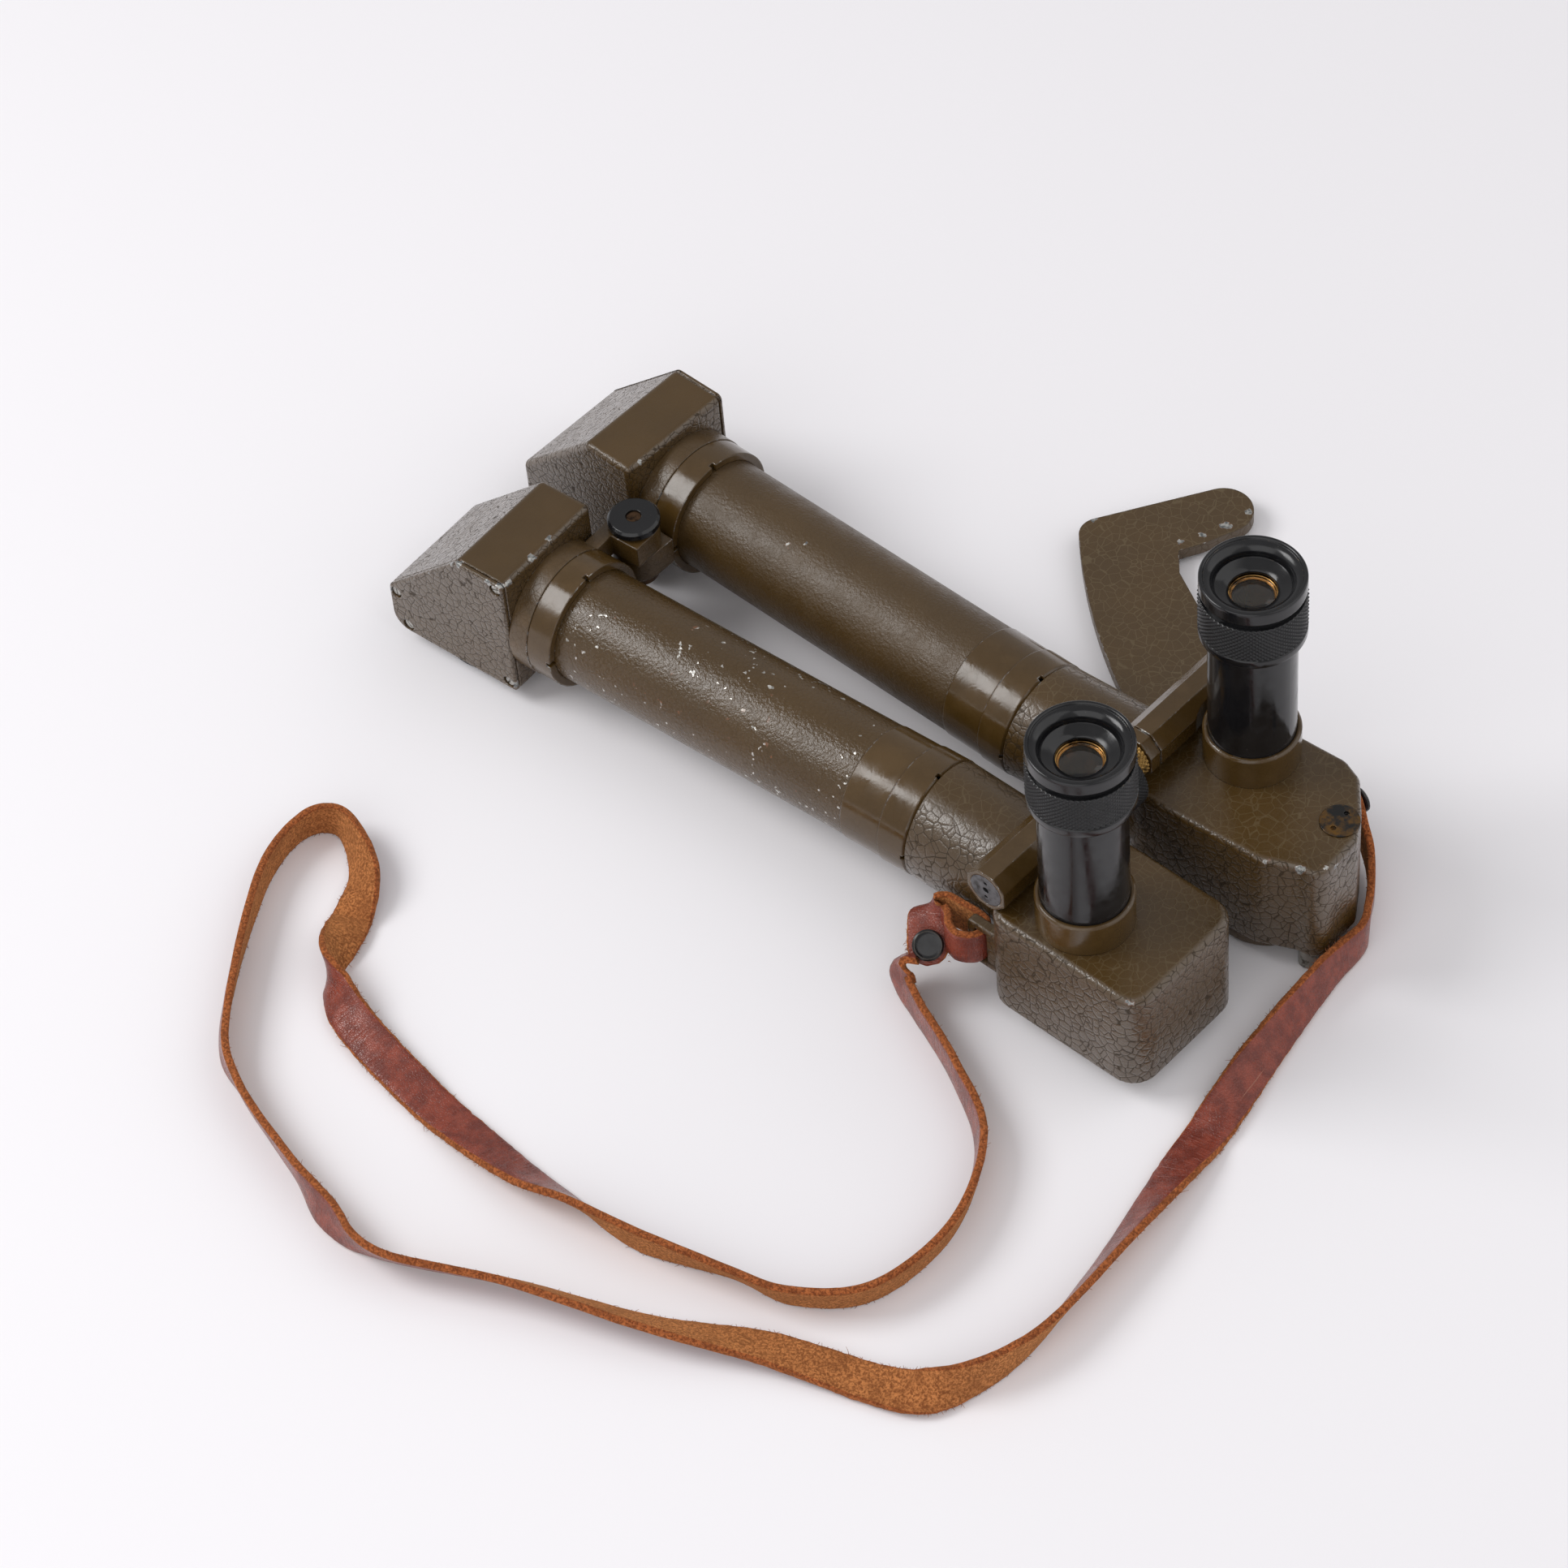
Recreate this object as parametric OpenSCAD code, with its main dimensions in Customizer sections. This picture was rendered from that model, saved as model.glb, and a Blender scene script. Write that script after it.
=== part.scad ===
// Scissors periscope: two folded telescopes joined by a hinge near their heads.
// Millimetres. It lies on its objective bezels, +Z up, tubes along +X.
// Origin: centre of the left objective bezel's front face, on the resting plane.
// The right telescope is the left one mirrored and swung about the hinge.

/* [Heads] */
// Height of the head's underside above the resting plane
head_bottom = 4; // [3:0.5:8]
// Height of the head's flat top
head_top = 43.5; // [38:0.5:55]
// Head from the objective axis back to its rear face
head_back = 21.7; // [18:0.1:28]
// Head from the objective axis forward to the tube joint
head_front = 20; // [17:0.1:26]
// Width across the head
head_width = 35.4; // [32:0.2:44]
// Length of the flat on top of the head
head_flat = 15.4; // [8:0.1:20]
// Height at which the slanted face starts on the rear face
slant_start = 18.9; // [12:0.1:26]
// Radius of the lower rear edge
head_round = 5; // [1:0.5:8]
// Wall of the head casting
head_wall = 3; // [2:0.1:4]
// Inner floor that carries the roof prism
head_floor = 10; // [8.5:0.1:14]
// Thickness of the screwed side cover
cover_thick = 1.5; // [1:0.1:3]
// Radius of the objective bezel
bezel_r = 15.5; // [14:0.1:17]
// Radius of the clear objective opening
objective_r = 12; // [8:0.1:12.5]
// Height of the roof above the prism's hypotenuse
roof_height = 8.8; // [5:0.1:9]

/* [Tubes] */
// Height of the tube axis
tube_z = 22.3; // [20:0.1:28]
// Outer radius of the tube
tube_r = 15.3; // [12:0.1:16]
// Wall of the tube
tube_wall = 1.7; // [1:0.1:3]
// Bare tube between the lock ring and the band
tube_len = 91.7; // [60:0.1:140]
// Length of the collar that carries the hinge lug
collar_len = 5.8; // [4:0.1:12]
// How far the collar stands proud of the tube
collar_rise = 2.4; // [1:0.1:4]
// Length of the slotted lock ring
lock_len = 7.4; // [4:0.1:12]
// How far the lock ring stands proud of the tube
lock_rise = 2.2; // [1:0.1:4]
// Length of the painted band
band_len = 11.8; // [6:0.1:18]
// Length of the slotted joint ring
joint_len = 8.4; // [4:0.1:14]
// How far the joint ring stands proud of the tube
joint_rise = 0.6; // [0.3:0.1:2]
// Width of the spanner slots
slot_w = 1.4; // [0.8:0.1:2.5]
// Depth of the spanner slots
slot_deep = 1.2; // [0.6:0.1:2]

/* [Hinge] */
// Distance from the hinge to the tube axis
hinge_side = 24.6; // [22:0.1:32]
// Radius of the rounded lug ends
lug_r = 6.4; // [5:0.1:8]
// Underside of the right lug
lug_low = 20; // [16:0.1:24]
// Plane where the two lugs meet
lug_mid = 28; // [25:0.1:31]
// Top of the left lug
lug_top = 35; // [32:0.1:40]
// Thickness of the washer between the lugs
washer_thick = 0.3; // [0.2:0.05:1]
// Radius of the hinge pin
pin_r = 3; // [2:0.1:4]
// Radius of the clamp knob
knob_r = 6.85; // [5:0.05:9]
// Height of the clamp knob
knob_h = 3; // [2:0.1:6]
// Angle by which the tubes close towards the eyepieces
converge = 4.6; // [3.6:0.1:5.6]

/* [Eyepiece housings] */
// Angle by which a housing turns away from its tube
toe_out = 4.07; // [2:0.01:6]
// Length from the tube joint to the eyepiece axis
eye_run = 55.4; // [48:0.1:70]
// Sideways step from the tube axis to the eyepiece axis
eye_offset = 10.9; // [8:0.1:12]
// Underside of the housing
house_bottom = 6; // [4:0.1:6.4]
// Top of the housing
house_top = 38.4; // [38.2:0.1:48]
// Housing from the eyepiece axis back to the socket face
house_back = 20.6; // [16:0.1:26]
// Left housing from the eyepiece axis forward
left_front = 27.4; // [22:0.1:36]
// Right housing from the eyepiece axis forward
right_front = 36.4; // [34:0.1:44]
// Left housing from the eyepiece axis to its outer side
left_outer = 14.3; // [14:0.1:20]
// Left housing from the eyepiece axis to its inner side
left_inner = 24.5; // [20:0.1:25]
// Right housing from the eyepiece axis to its outer side
right_outer = 11.2; // [11:0.1:16]
// Right housing from the eyepiece axis to its inner side
right_inner = 27; // [22:0.1:27.2]
// Radius of the upright housing corners
house_corner = 7; // [3:0.1:9]
// Radius of the housing's top and bottom edges
house_edge = 2.4; // [1:0.1:4]
// Wall of the housing casting
house_wall = 2.4; // [1.8:0.1:3.2]
// Leg of the right-angle prisms
prism_leg = 10.4; // [8:0.1:10.8]
// Radius of the left housing's foot
foot_r = 11; // [8:0.1:13]

/* [Eyepieces] */
// Radius of the olive eyepiece collar
eye_collar_r = 12.07; // [11.4:0.01:14]
// Height of the olive eyepiece collar
eye_collar_h = 9.9; // [6:0.1:14]
// Radius of the black eyepiece tube
eye_tube_r = 10.87; // [10:0.01:11.2]
// Height of the eyepiece tube above the housing
eye_tube_h = 43.4; // [34:0.1:56]
// Wall of the eyepiece tube
eye_tube_wall = 1.57; // [1.2:0.01:2.5]
// Gap under the focus ring at rest
focus_gap = 1; // [0.9:0.1:3]
// Radius of the knurled focus ring
focus_r = 13.2; // [12:0.1:15]
// Height of the smooth band under the knurl
focus_band_h = 2.8; // [1:0.1:5]
// Height of the knurl
knurl_h = 10.4; // [6:0.1:16]
// Number of knurl teeth
knurl_teeth = 66; // [40:1:90]
// Radius of the eyecup rim
cup_r = 12.94; // [12:0.01:15]
// Height of the eyecup with its neck
cup_h = 5.84; // [4:0.01:9]
// Radius of the eye lens
eye_lens_r = 5.5; // [4:0.1:6.5]

/* [Bridge] */
// Width across the flats of the octagonal bars
bar_flats = 11.4; // [9:0.1:12]
// Bar axis from the eyepiece axis, towards the heads
bar_back = 20.3; // [18.6:0.1:24]
// Outer end of the left bar from the eyepiece axis
bar_start = 12.5; // [8:0.1:16]
// Inner end of the left bar from the eyepiece axis
bar_end = 24; // [18:0.1:24.4]
// Radius of the knurled wheel
wheel_r = 10; // [8:0.1:12]
// Width of the knurled wheel
wheel_w = 7.4; // [5:0.1:8]
// Near face of the wheel from the left eyepiece axis
wheel_at = 28.7; // [28:0.1:30]
// Width of the knurled brass bush
bush_w = 5.9; // [4:0.1:8]
// Radius of the knurled brass bush
bush_r = 5.5; // [4.6:0.1:5.6]
// Thickness of the octagonal end plate
end_plate = 3.6; // [2:0.1:5]
// Far end of the sliding block from the left eyepiece axis
block_end = 77; // [70:0.5:84]
// Radius of the adjusting spindle
spindle_r = 3; // [2:0.1:3.4]
// Radius of the pin that drives the block
drive_r = 2; // [1.5:0.1:2.5]

/* [Hook plate] */
// Underside of the plate
hook_low = 2; // [1.5:0.1:2.4]
// Thickness of the plate
hook_thick = 3.5; // [2.5:0.1:3.5]
// Radius of the plate's hub
hook_hub_r = 14; // [10:0.1:15]
// Radius of the plate's pivot screw
hook_pin_r = 3; // [2:0.1:4]
// Radius of the rounded fingertip
hook_tip_r = 8; // [5:0.1:10]

/* [Strap] */
// Width of the leather strap
strap_w = 10.5; // [9:0.1:10.7]
// Thickness of the leather strap
strap_t = 2; // [1.4:0.1:2.2]
// Radius of the strap's snap fastener
snap_r = 3.9; // [3:0.1:5]

/* [Hidden] */
$fn = 48;
olive = [0.29, 0.25, 0.16];
black = [0.06, 0.06, 0.07];
steel = [0.6, 0.6, 0.6];
brass = [0.68, 0.52, 0.28];
leather = [0.47, 0.2, 0.12];
crystal = [0.8, 0.88, 0.9, 0.5];

// Clearances: running fits, seats of parts in one body, and gaps of moving parts
run = 0.06;
seat = 0.05;
gap = 0.15;

// Places along the tube
collar_end = head_front + collar_len;
lock_end = collar_end + lock_len;
band_at = lock_end + tube_len;
joint_at = band_at + band_len;
joint_end = joint_at + joint_len;
collar_r = tube_r + collar_rise;
lock_r = tube_r + lock_rise;
joint_r = tube_r + joint_rise;
bore_r = tube_r - tube_wall;
spigot_r = tube_r - 0.7;
hinge_x = head_front + collar_len + 2.1;

// The head's slanted face
slant_run = head_front + head_back - head_flat;
slant_rise = head_top - slant_start;
slant = slant_rise / slant_run;
prism_half = tube_z - head_floor;
ridge = roof_height * sqrt(2);
screw_in = 2.4;
screw_r = 0.8;
screw_head_r = 1.4;

// Heights in the eyepiece
seat_z = house_top + eye_tube_h;
ring_low = seat_z + focus_gap;
ring_mid = ring_low + focus_band_h;
ring_top = ring_mid + knurl_h;
eye_bore = eye_tube_r - eye_tube_wall;
thread_r = eye_tube_r - 0.92;
cup_top = ring_top + cup_h;

// The bridge, in the left housing's frame
bar_z = house_top + bar_flats / 2;
bush_at = wheel_at + wheel_w;
plate_at = bush_at + bush_w;
block_at = plate_at + end_plate;
drive_y = 62;
block_relief = 1.9;

// The lobe of the right housing with its support pin and plug, and the hook's pivot
lobe = [31.4, 20.2];
plug = [30, 5.9];
hook_at = [13.4, 11.9];
hook_top = hook_low + hook_thick;

// The strap's ear on the housing corner
ear_bar = 2.4;
ear_slot = 4.6;
ear_y = [-12, -9.2];
ear_z = [13, 27.4];
side_ear_x = [12, 15];
side_ear_z = [7.8, 22.2];
side_bar = 2;
side_slot = 4;

// The strap: x, y, z of its middle and its lean in degrees, 0 on edge and 90 flat with
// the grain side up. It lies on the resting plane wherever z is lower than that.
// It turns over twice, once each way
strap_route = [
    [160.5, -31, 12.5, 60], [158.2, -35, 9.5, 18], [166.5, -40.2, 0, 0],
    [186, -50.4, 0, 0], [204, -64, 0, 10], [213, -88, 0, 14], [209, -112.5, 0, 16],
    [194, -124.8, 0, 18], [178, -127.8, 0, 25], [155, -133.3, 0, 10],
    [136, -133.7, 0, 30], [118, -133.8, 0, 60], [88, -129.7, 0, 77],
    [58, -123.2, 0, 92], [47, -118.4, 0, 135], [41.6, -114.6, 0, 185],
    [38, -109, 0, 240], [33.8, -99, 0, 275], [27.5, -86, 0, 320], [12.5, -77.6, 0, 357],
    [5.2, -85, 0, 368], [9.5, -105.5, 0, 366], [32, -143, 0, 374], [48.5, -155, 0, 352],
    [74, -164.8, 0, 354], [91, -170.8, 0, 376], [108, -172, 0, 335],
    [138, -160.3, 0, 327], [172, -149.8, 0, 313], [199, -137.8, 0, 284],
    [226, -130.2, 0, 264], [235, -127, 0, 234], [241, -120.6, 0, 198],
    [246.2, -108, 0, 174], [248, -93, 0, 158], [247.2, -66, 0, 141],
    [244.6, -34, 0, 98], [242.4, 0, 0, 41], [241.6, 25.6, 0, 15], [241.4, 31, 0, 12]
];
// The fold through the left ear: tail, loop round the bar, and back
left_loop = [
    [164.2, -32.4, 11.5, 90], [161.6, -28.2, 15.6, 90], [158.8, -24, 19.4, 70],
    [158.4, -21.4, 20.2, 25], [161.6, -20.2, 20.2, 0], [166.5, -20, 20.2, 0],
    [171, -20.1, 20.2, 0], [174.4, -21, 20.2, 0], [175.5, -23.6, 20.2, 0],
    [174.4, -26.6, 20.2, 0], [171, -28.4, 20.2, 0], [167.4, -27.2, 20.2, 0],
    [165.2, -24.6, 20.2, 0], [163.2, -23.4, 20.2, 0]
];
left_snap = [[162.3, -29.4, 15.2], [0, 40.5, -47.5]];
// The end round the right ear: past the strap's lap, round the bar, tail tucked inside.
// It moves with the right telescope, so it only lies against the strap's other end
right_loop = [
    [42.4, 20.7, 5.6, -12], [42.2, 16.2, 5.6, -9], [40.1, 10.2, 5.6, -2],
    [37.1, 3.7, 5.7, 5], [33.4, -3.5, 6.2, 0], [28.4, -10.2, 7.2, 0],
    [23.1, -14.7, 9.4, 0], [18.5, -17.6, 13, 0], [15, -18.4, 14.8, 0],
    [12.4, -18.4, 15, 0], [10.5, -17.3, 15, 0], [10.2, -15.3, 15, 0],
    [11.3, -13.7, 15, 0], [13.5, -13.2, 15, 0], [16.2, -13.4, 14.8, 0],
    [18.8, -14.6, 13.6, 0], [20.4, -14.4, 12.4, 0]
];
right_snap = [[17.6, -18.1, 13.8], [90, 0, 12]];

// Placement
module right_side() {
    translate([hinge_x, hinge_side, 0])
        rotate([0, 0, -converge])
            translate([-hinge_x, hinge_side, 0])
                mirror([0, 1, 0])
                    children();
}

module at_housing() {
    translate([joint_end, 0, 0])
        rotate([0, 0, -toe_out])
            translate([eye_run, -eye_offset, 0])
                children();
}

module along_tube(x0) {
    translate([x0, 0, tube_z])
        rotate([0, 90, 0])
            children();
}

module at_bar(y0) {
    translate([-bar_back, y0, bar_z])
        rotate([-90, 0, 0])
            children();
}

// Shapes
module pipe(r_out, r_in, h) {
    difference() {
        cylinder(r = r_out, h = h);
        translate([0, 0, -1])
            cylinder(r = r_in, h = h + 2);
    }
}

module rounded(lo, hi, r) {
    translate([lo.x + r, lo.y])
        square([hi.x - lo.x - 2 * r, hi.y - lo.y]);
    translate([lo.x, lo.y + r])
        square([hi.x - lo.x, hi.y - lo.y - 2 * r]);
    for (x = [lo.x + r, hi.x - r], y = [lo.y + r, hi.y - r])
        translate([x, y])
            circle(r);
}

module octagon(flats) {
    rotate(22.5)
        circle(r = flats / 2 / cos(22.5), $fn = 8);
}

module knurled(r, h, teeth, deep) {
    linear_extrude(h)
        polygon([for (i = [0 : 2 * teeth - 1])
            (i % 2 == 0 ? r : r - deep) * [cos(180 * i / teeth), sin(180 * i / teeth)]]);
}

module spanner_slots(x_end, r) {
    for (a = [0, 90])
        along_tube(x_end - slot_deep)
            rotate([0, 0, a])
                translate([-r - 1, -slot_w / 2, 0])
                    cube([2 * r + 2, slot_w, slot_deep + 1]);
}

// A lens is turned from its profile: two arcs of the same ball radius
function lens_arc(r, ball, n) =
    [for (i = [0 : n]) let (x = r * i / n) [x, sqrt(ball * ball - x * x) - sqrt(ball * ball - r * r)]];

module biconvex(r, edge, ball) {
    top = lens_arc(r, ball, 8);
    rotate_extrude()
        polygon(concat(
            [for (i = [8 : -1 : 0]) [top[i].x, edge / 2 + top[i].y]],
            [for (p = top) [p.x, -edge / 2 - p.y]]
        ));
}

module plano_convex(r, edge, ball) {
    rotate_extrude()
        polygon(concat([[0, 0], [r, 0]],
            [for (i = [8 : -1 : 0]) lens_arc(r, ball, 8)[i] + [0, edge]]));
}

// A ribbon swept along points of x, y, z and lean, rounded across its section.
// Its middle is never lower than where it lies on the resting plane
function spline(a, b, c, d, t) =
    0.5 * (2 * b + (c - a) * t + (2 * a - 5 * b + 4 * c - d) * t * t
    + (3 * b - 3 * c + d - a) * t * t * t);
function smooth(p, steps) = [
    for (i = [0 : len(p) - 2], s = [0 : steps - 1])
        spline(p[max(i - 1, 0)], p[i], p[i + 1], p[min(i + 2, len(p) - 1)], s / steps),
    p[len(p) - 1]
];
function lying(lean) =
    strap_w / 2 * abs(cos(lean)) + strap_t / 2 * abs(sin(lean)) + 0.2;
function settled(q) = [q[0], q[1], max(q[2], lying(q[3])), q[3]];
function place(q) = [q[0], q[1], q[2]];
function unit(v) = v / norm(v);
function ribbon_ring(q, i) =
    let (
        dir = unit(place(q[min(i + 1, len(q) - 1)]) - place(q[max(i - 1, 0)])),
        side = unit([-dir.y, dir.x, 0]),
        across = cos(q[i][3]) * [0, 0, 1] + sin(q[i][3]) * side,
        wide = unit(across - (across * dir) * dir),
        deep = cross(dir, wide),
        w = strap_w / 2,
        t = strap_t / 2
    )
    [for (s = [[w, t / 2], [w - t / 2, t], [t / 2 - w, t], [-w, t / 2],
        [-w, -t / 2], [t / 2 - w, -t], [w - t / 2, -t], [w, -t / 2]])
        place(q[i]) + s.x * wide + s.y * deep];

module ribbon(route, steps) {
    q = [for (r = smooth(route, steps)) settled(r)];
    n = len(q);
    points = [for (i = [0 : n - 1]) each ribbon_ring(q, i)];
    sides = [for (i = [0 : n - 2], k = [0 : 7])
        let (a = 8 * i + k, b = 8 * i + (k + 1) % 8)
        each [[a, b, b + 8], [a, b + 8, a + 8]]];
    first = [for (k = [7 : -1 : 0]) k];
    last = [for (k = [0 : 7]) 8 * (n - 1) + k];
    polyhedron(points, concat([first], sides, [last]));
}

// Head: cast box with a slanted face, side cover, roof prism and objective
module head_outline() {
    polygon([
        [head_round - head_back, head_bottom], [head_front, head_bottom],
        [head_front, head_top], [head_front - head_flat, head_top],
        [-head_back, slant_start], [-head_back, head_bottom + head_round]
    ]);
    translate([head_round - head_back, head_bottom + head_round])
        circle(head_round);
}

module head_cavity() {
    in = head_wall * sqrt(1 + slant * slant);
    polygon([
        [head_wall - head_back, head_floor], [head_front - head_wall, head_floor],
        [head_front - head_wall, head_top - head_wall],
        [(slant_rise - head_wall + in) / slant - head_back, head_top - head_wall],
        [head_wall - head_back, slant_start + slant * head_wall - in]
    ]);
}

module along_y(y0, y1) {
    translate([0, y1, 0])
        rotate([90, 0, 0])
            linear_extrude(y1 - y0)
                children();
}

function screw_places() = [
    [head_front - screw_in, head_top - screw_in],
    [head_front - screw_in, head_bottom + screw_in],
    [screw_in - head_back, slant_start - 1.5],
    [head_round - head_back, head_bottom + screw_in]
];

module cover_bores(r, y0, y1) {
    for (p = screw_places())
        translate([p.x, y1, p.y])
            rotate([90, 0, 0])
                cylinder(r = r, h = y1 - y0, $fn = 24);
}

module head() {
    half = head_width / 2;
    color(olive)
        difference() {
            intersection() {
                along_y(cover_thick - half, half)
                    head_outline();
                translate([0, 0, head_bottom - 1])
                    linear_extrude(head_top)
                        rounded([-head_back, -half - 3], [head_front, half], 2);
            }
            along_y(-half - 1, half - head_wall)
                head_cavity();
            cylinder(r = bezel_r - 2, h = 2 * head_floor);
            along_tube(head_front - head_wall - 1)
                cylinder(r = collar_r - 2.65, h = head_wall + 2);
            cover_bores(screw_r + seat, -half, 5 - half);
        }
}

module head_cover() {
    half = head_width / 2;
    color(olive)
        difference() {
            along_y(-half, cover_thick - half)
                head_outline();
            cover_bores(screw_r + seat, -half - 1, cover_thick - half + 1);
            cover_bores(screw_head_r + seat, -half - 1, 0.8 - half);
        }
}

module cover_screws() {
    half = head_width / 2;
    color(steel) {
        cover_bores(screw_head_r, 0.1 - half, 0.8 - half);
        cover_bores(screw_r, 0.1 - half, 4.6 - half);
    }
}

module roof_prism() {
    c = prism_half;
    color(crystal)
        intersection() {
            along_y(-roof_height, roof_height)
                polygon([
                    [-c - 1, head_floor], [c, head_floor], [c, head_floor + 2 * c + 1],
                    [c + 1 - ridge, head_floor + 2 * c + 1],
                    [-c - 1, head_floor - 1 + ridge]
                ]);
            translate([0, 0, tube_z])
                rotate([0, 45, 0])
                    translate([0, 0, -40])
                        linear_extrude(80)
                            polygon([
                                [-roof_height, 0], [0, roof_height], [40, roof_height],
                                [40, -roof_height], [0, -roof_height]
                            ]);
        }
}

module objective_bezel() {
    color(black)
        difference() {
            union() {
                rotate_extrude()
                    polygon([
                        [objective_r - 2, 0.9], [bezel_r - 0.4, 0], [bezel_r, 0.4],
                        [bezel_r, head_bottom], [objective_r - 2, head_bottom]
                    ]);
                cylinder(r = bezel_r - 2 - seat, h = head_floor - 0.3);
            }
            translate([0, 0, 3.2])
                cylinder(r = objective_r, h = head_floor);
            translate([0, 0, -1])
                cylinder(r = objective_r - 0.8, h = 6);
        }
}

module objective_lens() {
    color(crystal)
        translate([0, 0, 4.2])
            biconvex(objective_r - seat, 1.6, 42);
}

// Tube joints: collar with its hinge lug, lock ring, band and joint ring
module lug(z0, z1) {
    translate([hinge_x, hinge_side, z0])
        cylinder(r = lug_r, h = z1 - z0);
    translate([hinge_x - lug_r, lock_r + 0.4, z0])
        cube([2 * lug_r, hinge_side - lock_r - 0.4, z1 - z0]);
    translate([hinge_x - lug_r, 12, z0])
        cube([collar_end - hinge_x + lug_r - 0.1, hinge_side - 12, z1 - z0]);
}

module hinge_collar(z0, z1, hole) {
    color(olive)
        difference() {
            union() {
                along_tube(head_front)
                    cylinder(r = collar_r, h = collar_len - 0.1);
                along_tube(head_front - head_wall + 0.2)
                    cylinder(r = collar_r - 2.7, h = head_wall);
                lug(z0, z1);
            }
            along_tube(head_front - head_wall)
                cylinder(r = bore_r, h = 30);
            along_tube(head_front + 2.5)
                cylinder(r = tube_r + seat, h = 30);
            translate([hinge_x, hinge_side, z0 - 1])
                cylinder(r = hole, h = z1 - z0 + 2);
        }
}

module lock_ring() {
    color(olive)
        difference() {
            along_tube(collar_end)
                pipe(lock_r, tube_r + seat, lock_len);
            spanner_slots(lock_end, lock_r);
        }
}

module tube() {
    color(olive)
        difference() {
            union() {
                along_tube(head_front + 2.6)
                    cylinder(r = tube_r, h = band_at - head_front - 2.6);
                along_tube(band_at - 1)
                    cylinder(r = spigot_r, h = band_len + joint_len - 2.4);
            }
            along_tube(0)
                cylinder(r = bore_r, h = joint_end + 10);
        }
}

module tube_band() {
    color(olive)
        along_tube(band_at + seat)
            pipe(tube_r + 0.3, spigot_r + seat, band_len - 2 * seat);
}

module joint_ring() {
    color(olive)
        difference() {
            along_tube(joint_at)
                rotate_extrude()
                    polygon([
                        [spigot_r + seat, 0], [joint_r, 0], [joint_r, joint_len - 0.7],
                        [joint_r - 0.8, joint_len], [spigot_r + seat, joint_len]
                    ]);
            spanner_slots(joint_end, joint_r);
        }
}

// Housing: box with rounded edges, tube socket, eyepiece seat and strap ear
module left_plan(in, r) {
    rounded([in - house_back, in - left_outer], [left_front - in, left_inner - in], r);
}

module right_plan(in, r) {
    front = right_front - in;
    inner = right_inner - in;
    rounded([in - house_back, in - right_outer], [26, inner], r);
    polygon([
        [20, -right_outer + in], [25.8, -8.6 + in], [32 - in, in - 0.3],
        [front, 7.6 + in / 2], [front, 19.5 - in], [35.1 - in, 22.7 - in],
        [29.9 - in, 23.2 - in], [20.2, inner], [14, inner]
    ]);
}

module house_block(front, outer, inner) {
    intersection() {
        translate([0, 0, house_bottom])
            linear_extrude(house_top - house_bottom)
                children();
        along_y(-outer - 1, inner + 1)
            rounded([-house_back, house_bottom], [front + 1, house_top], house_edge);
        translate([-house_back - 1, 0, 0])
            rotate([90, 0, 90])
                linear_extrude(front + house_back + 2)
                    rounded([-outer, house_bottom], [inner, house_top], house_edge);
    }
}

module socket_outside() {
    translate([-eye_run - 4, eye_offset, 0])
        along_tube(0)
            cylinder(r = tube_r + 0.4, h = eye_run + 4 - house_back + house_corner);
}

module ear() {
    reach = ear_bar + ear_slot + 4;
    difference() {
        translate([-house_back - ear_bar - ear_slot, ear_y[0], ear_z[0]])
            cube([reach, ear_y[1] - ear_y[0], ear_z[1] - ear_z[0]]);
        translate([-house_back - ear_slot, ear_y[0] - 1, ear_z[0] + 1.7])
            cube([ear_slot - 0.8, 5, ear_z[1] - ear_z[0] - 3.4]);
    }
}

module side_ear() {
    wide = side_ear_x[1] - side_ear_x[0];
    tall = side_ear_z[1] - side_ear_z[0];
    translate([side_ear_x[0], -right_outer - side_slot - side_bar, side_ear_z[0]])
        difference() {
            cube([wide, side_slot + side_bar + 1, tall]);
            translate([-1, side_bar, 1.6])
                cube([wide + 2, side_slot, tall - 3.2]);
        }
}

module housing_cuts() {
    translate([0, 0, house_top - 6])
        cylinder(r = eye_tube_r + seat, h = 10);
    translate([-eye_run - 10, eye_offset, 0])
        along_tube(0)
            cylinder(r = bore_r, h = eye_run + 12 - house_back);
    translate([-eye_run, eye_offset, 0])
        rotate([0, 0, toe_out])
            translate([-30, -40, -1])
                cube([30 + seat, 80, 60]);
}

module left_housing() {
    color(olive)
        at_housing()
            difference() {
                union() {
                    house_block(left_front, left_outer, left_inner)
                        left_plan(0, house_corner);
                    socket_outside();
                    translate([-bar_back - 3, -4, tube_z + 10])
                        cube([6, 26, house_top - tube_z - 10]);
                    ear();
                }
                translate([0, 0, house_bottom + 1.6])
                    linear_extrude(house_top - house_bottom - 4)
                        left_plan(house_wall, house_corner - house_wall);
                translate([0, 0, house_bottom - 1])
                    linear_extrude(2.6)
                        left_plan(1.3, house_corner - 1.3);
                housing_cuts();
            }
}

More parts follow.
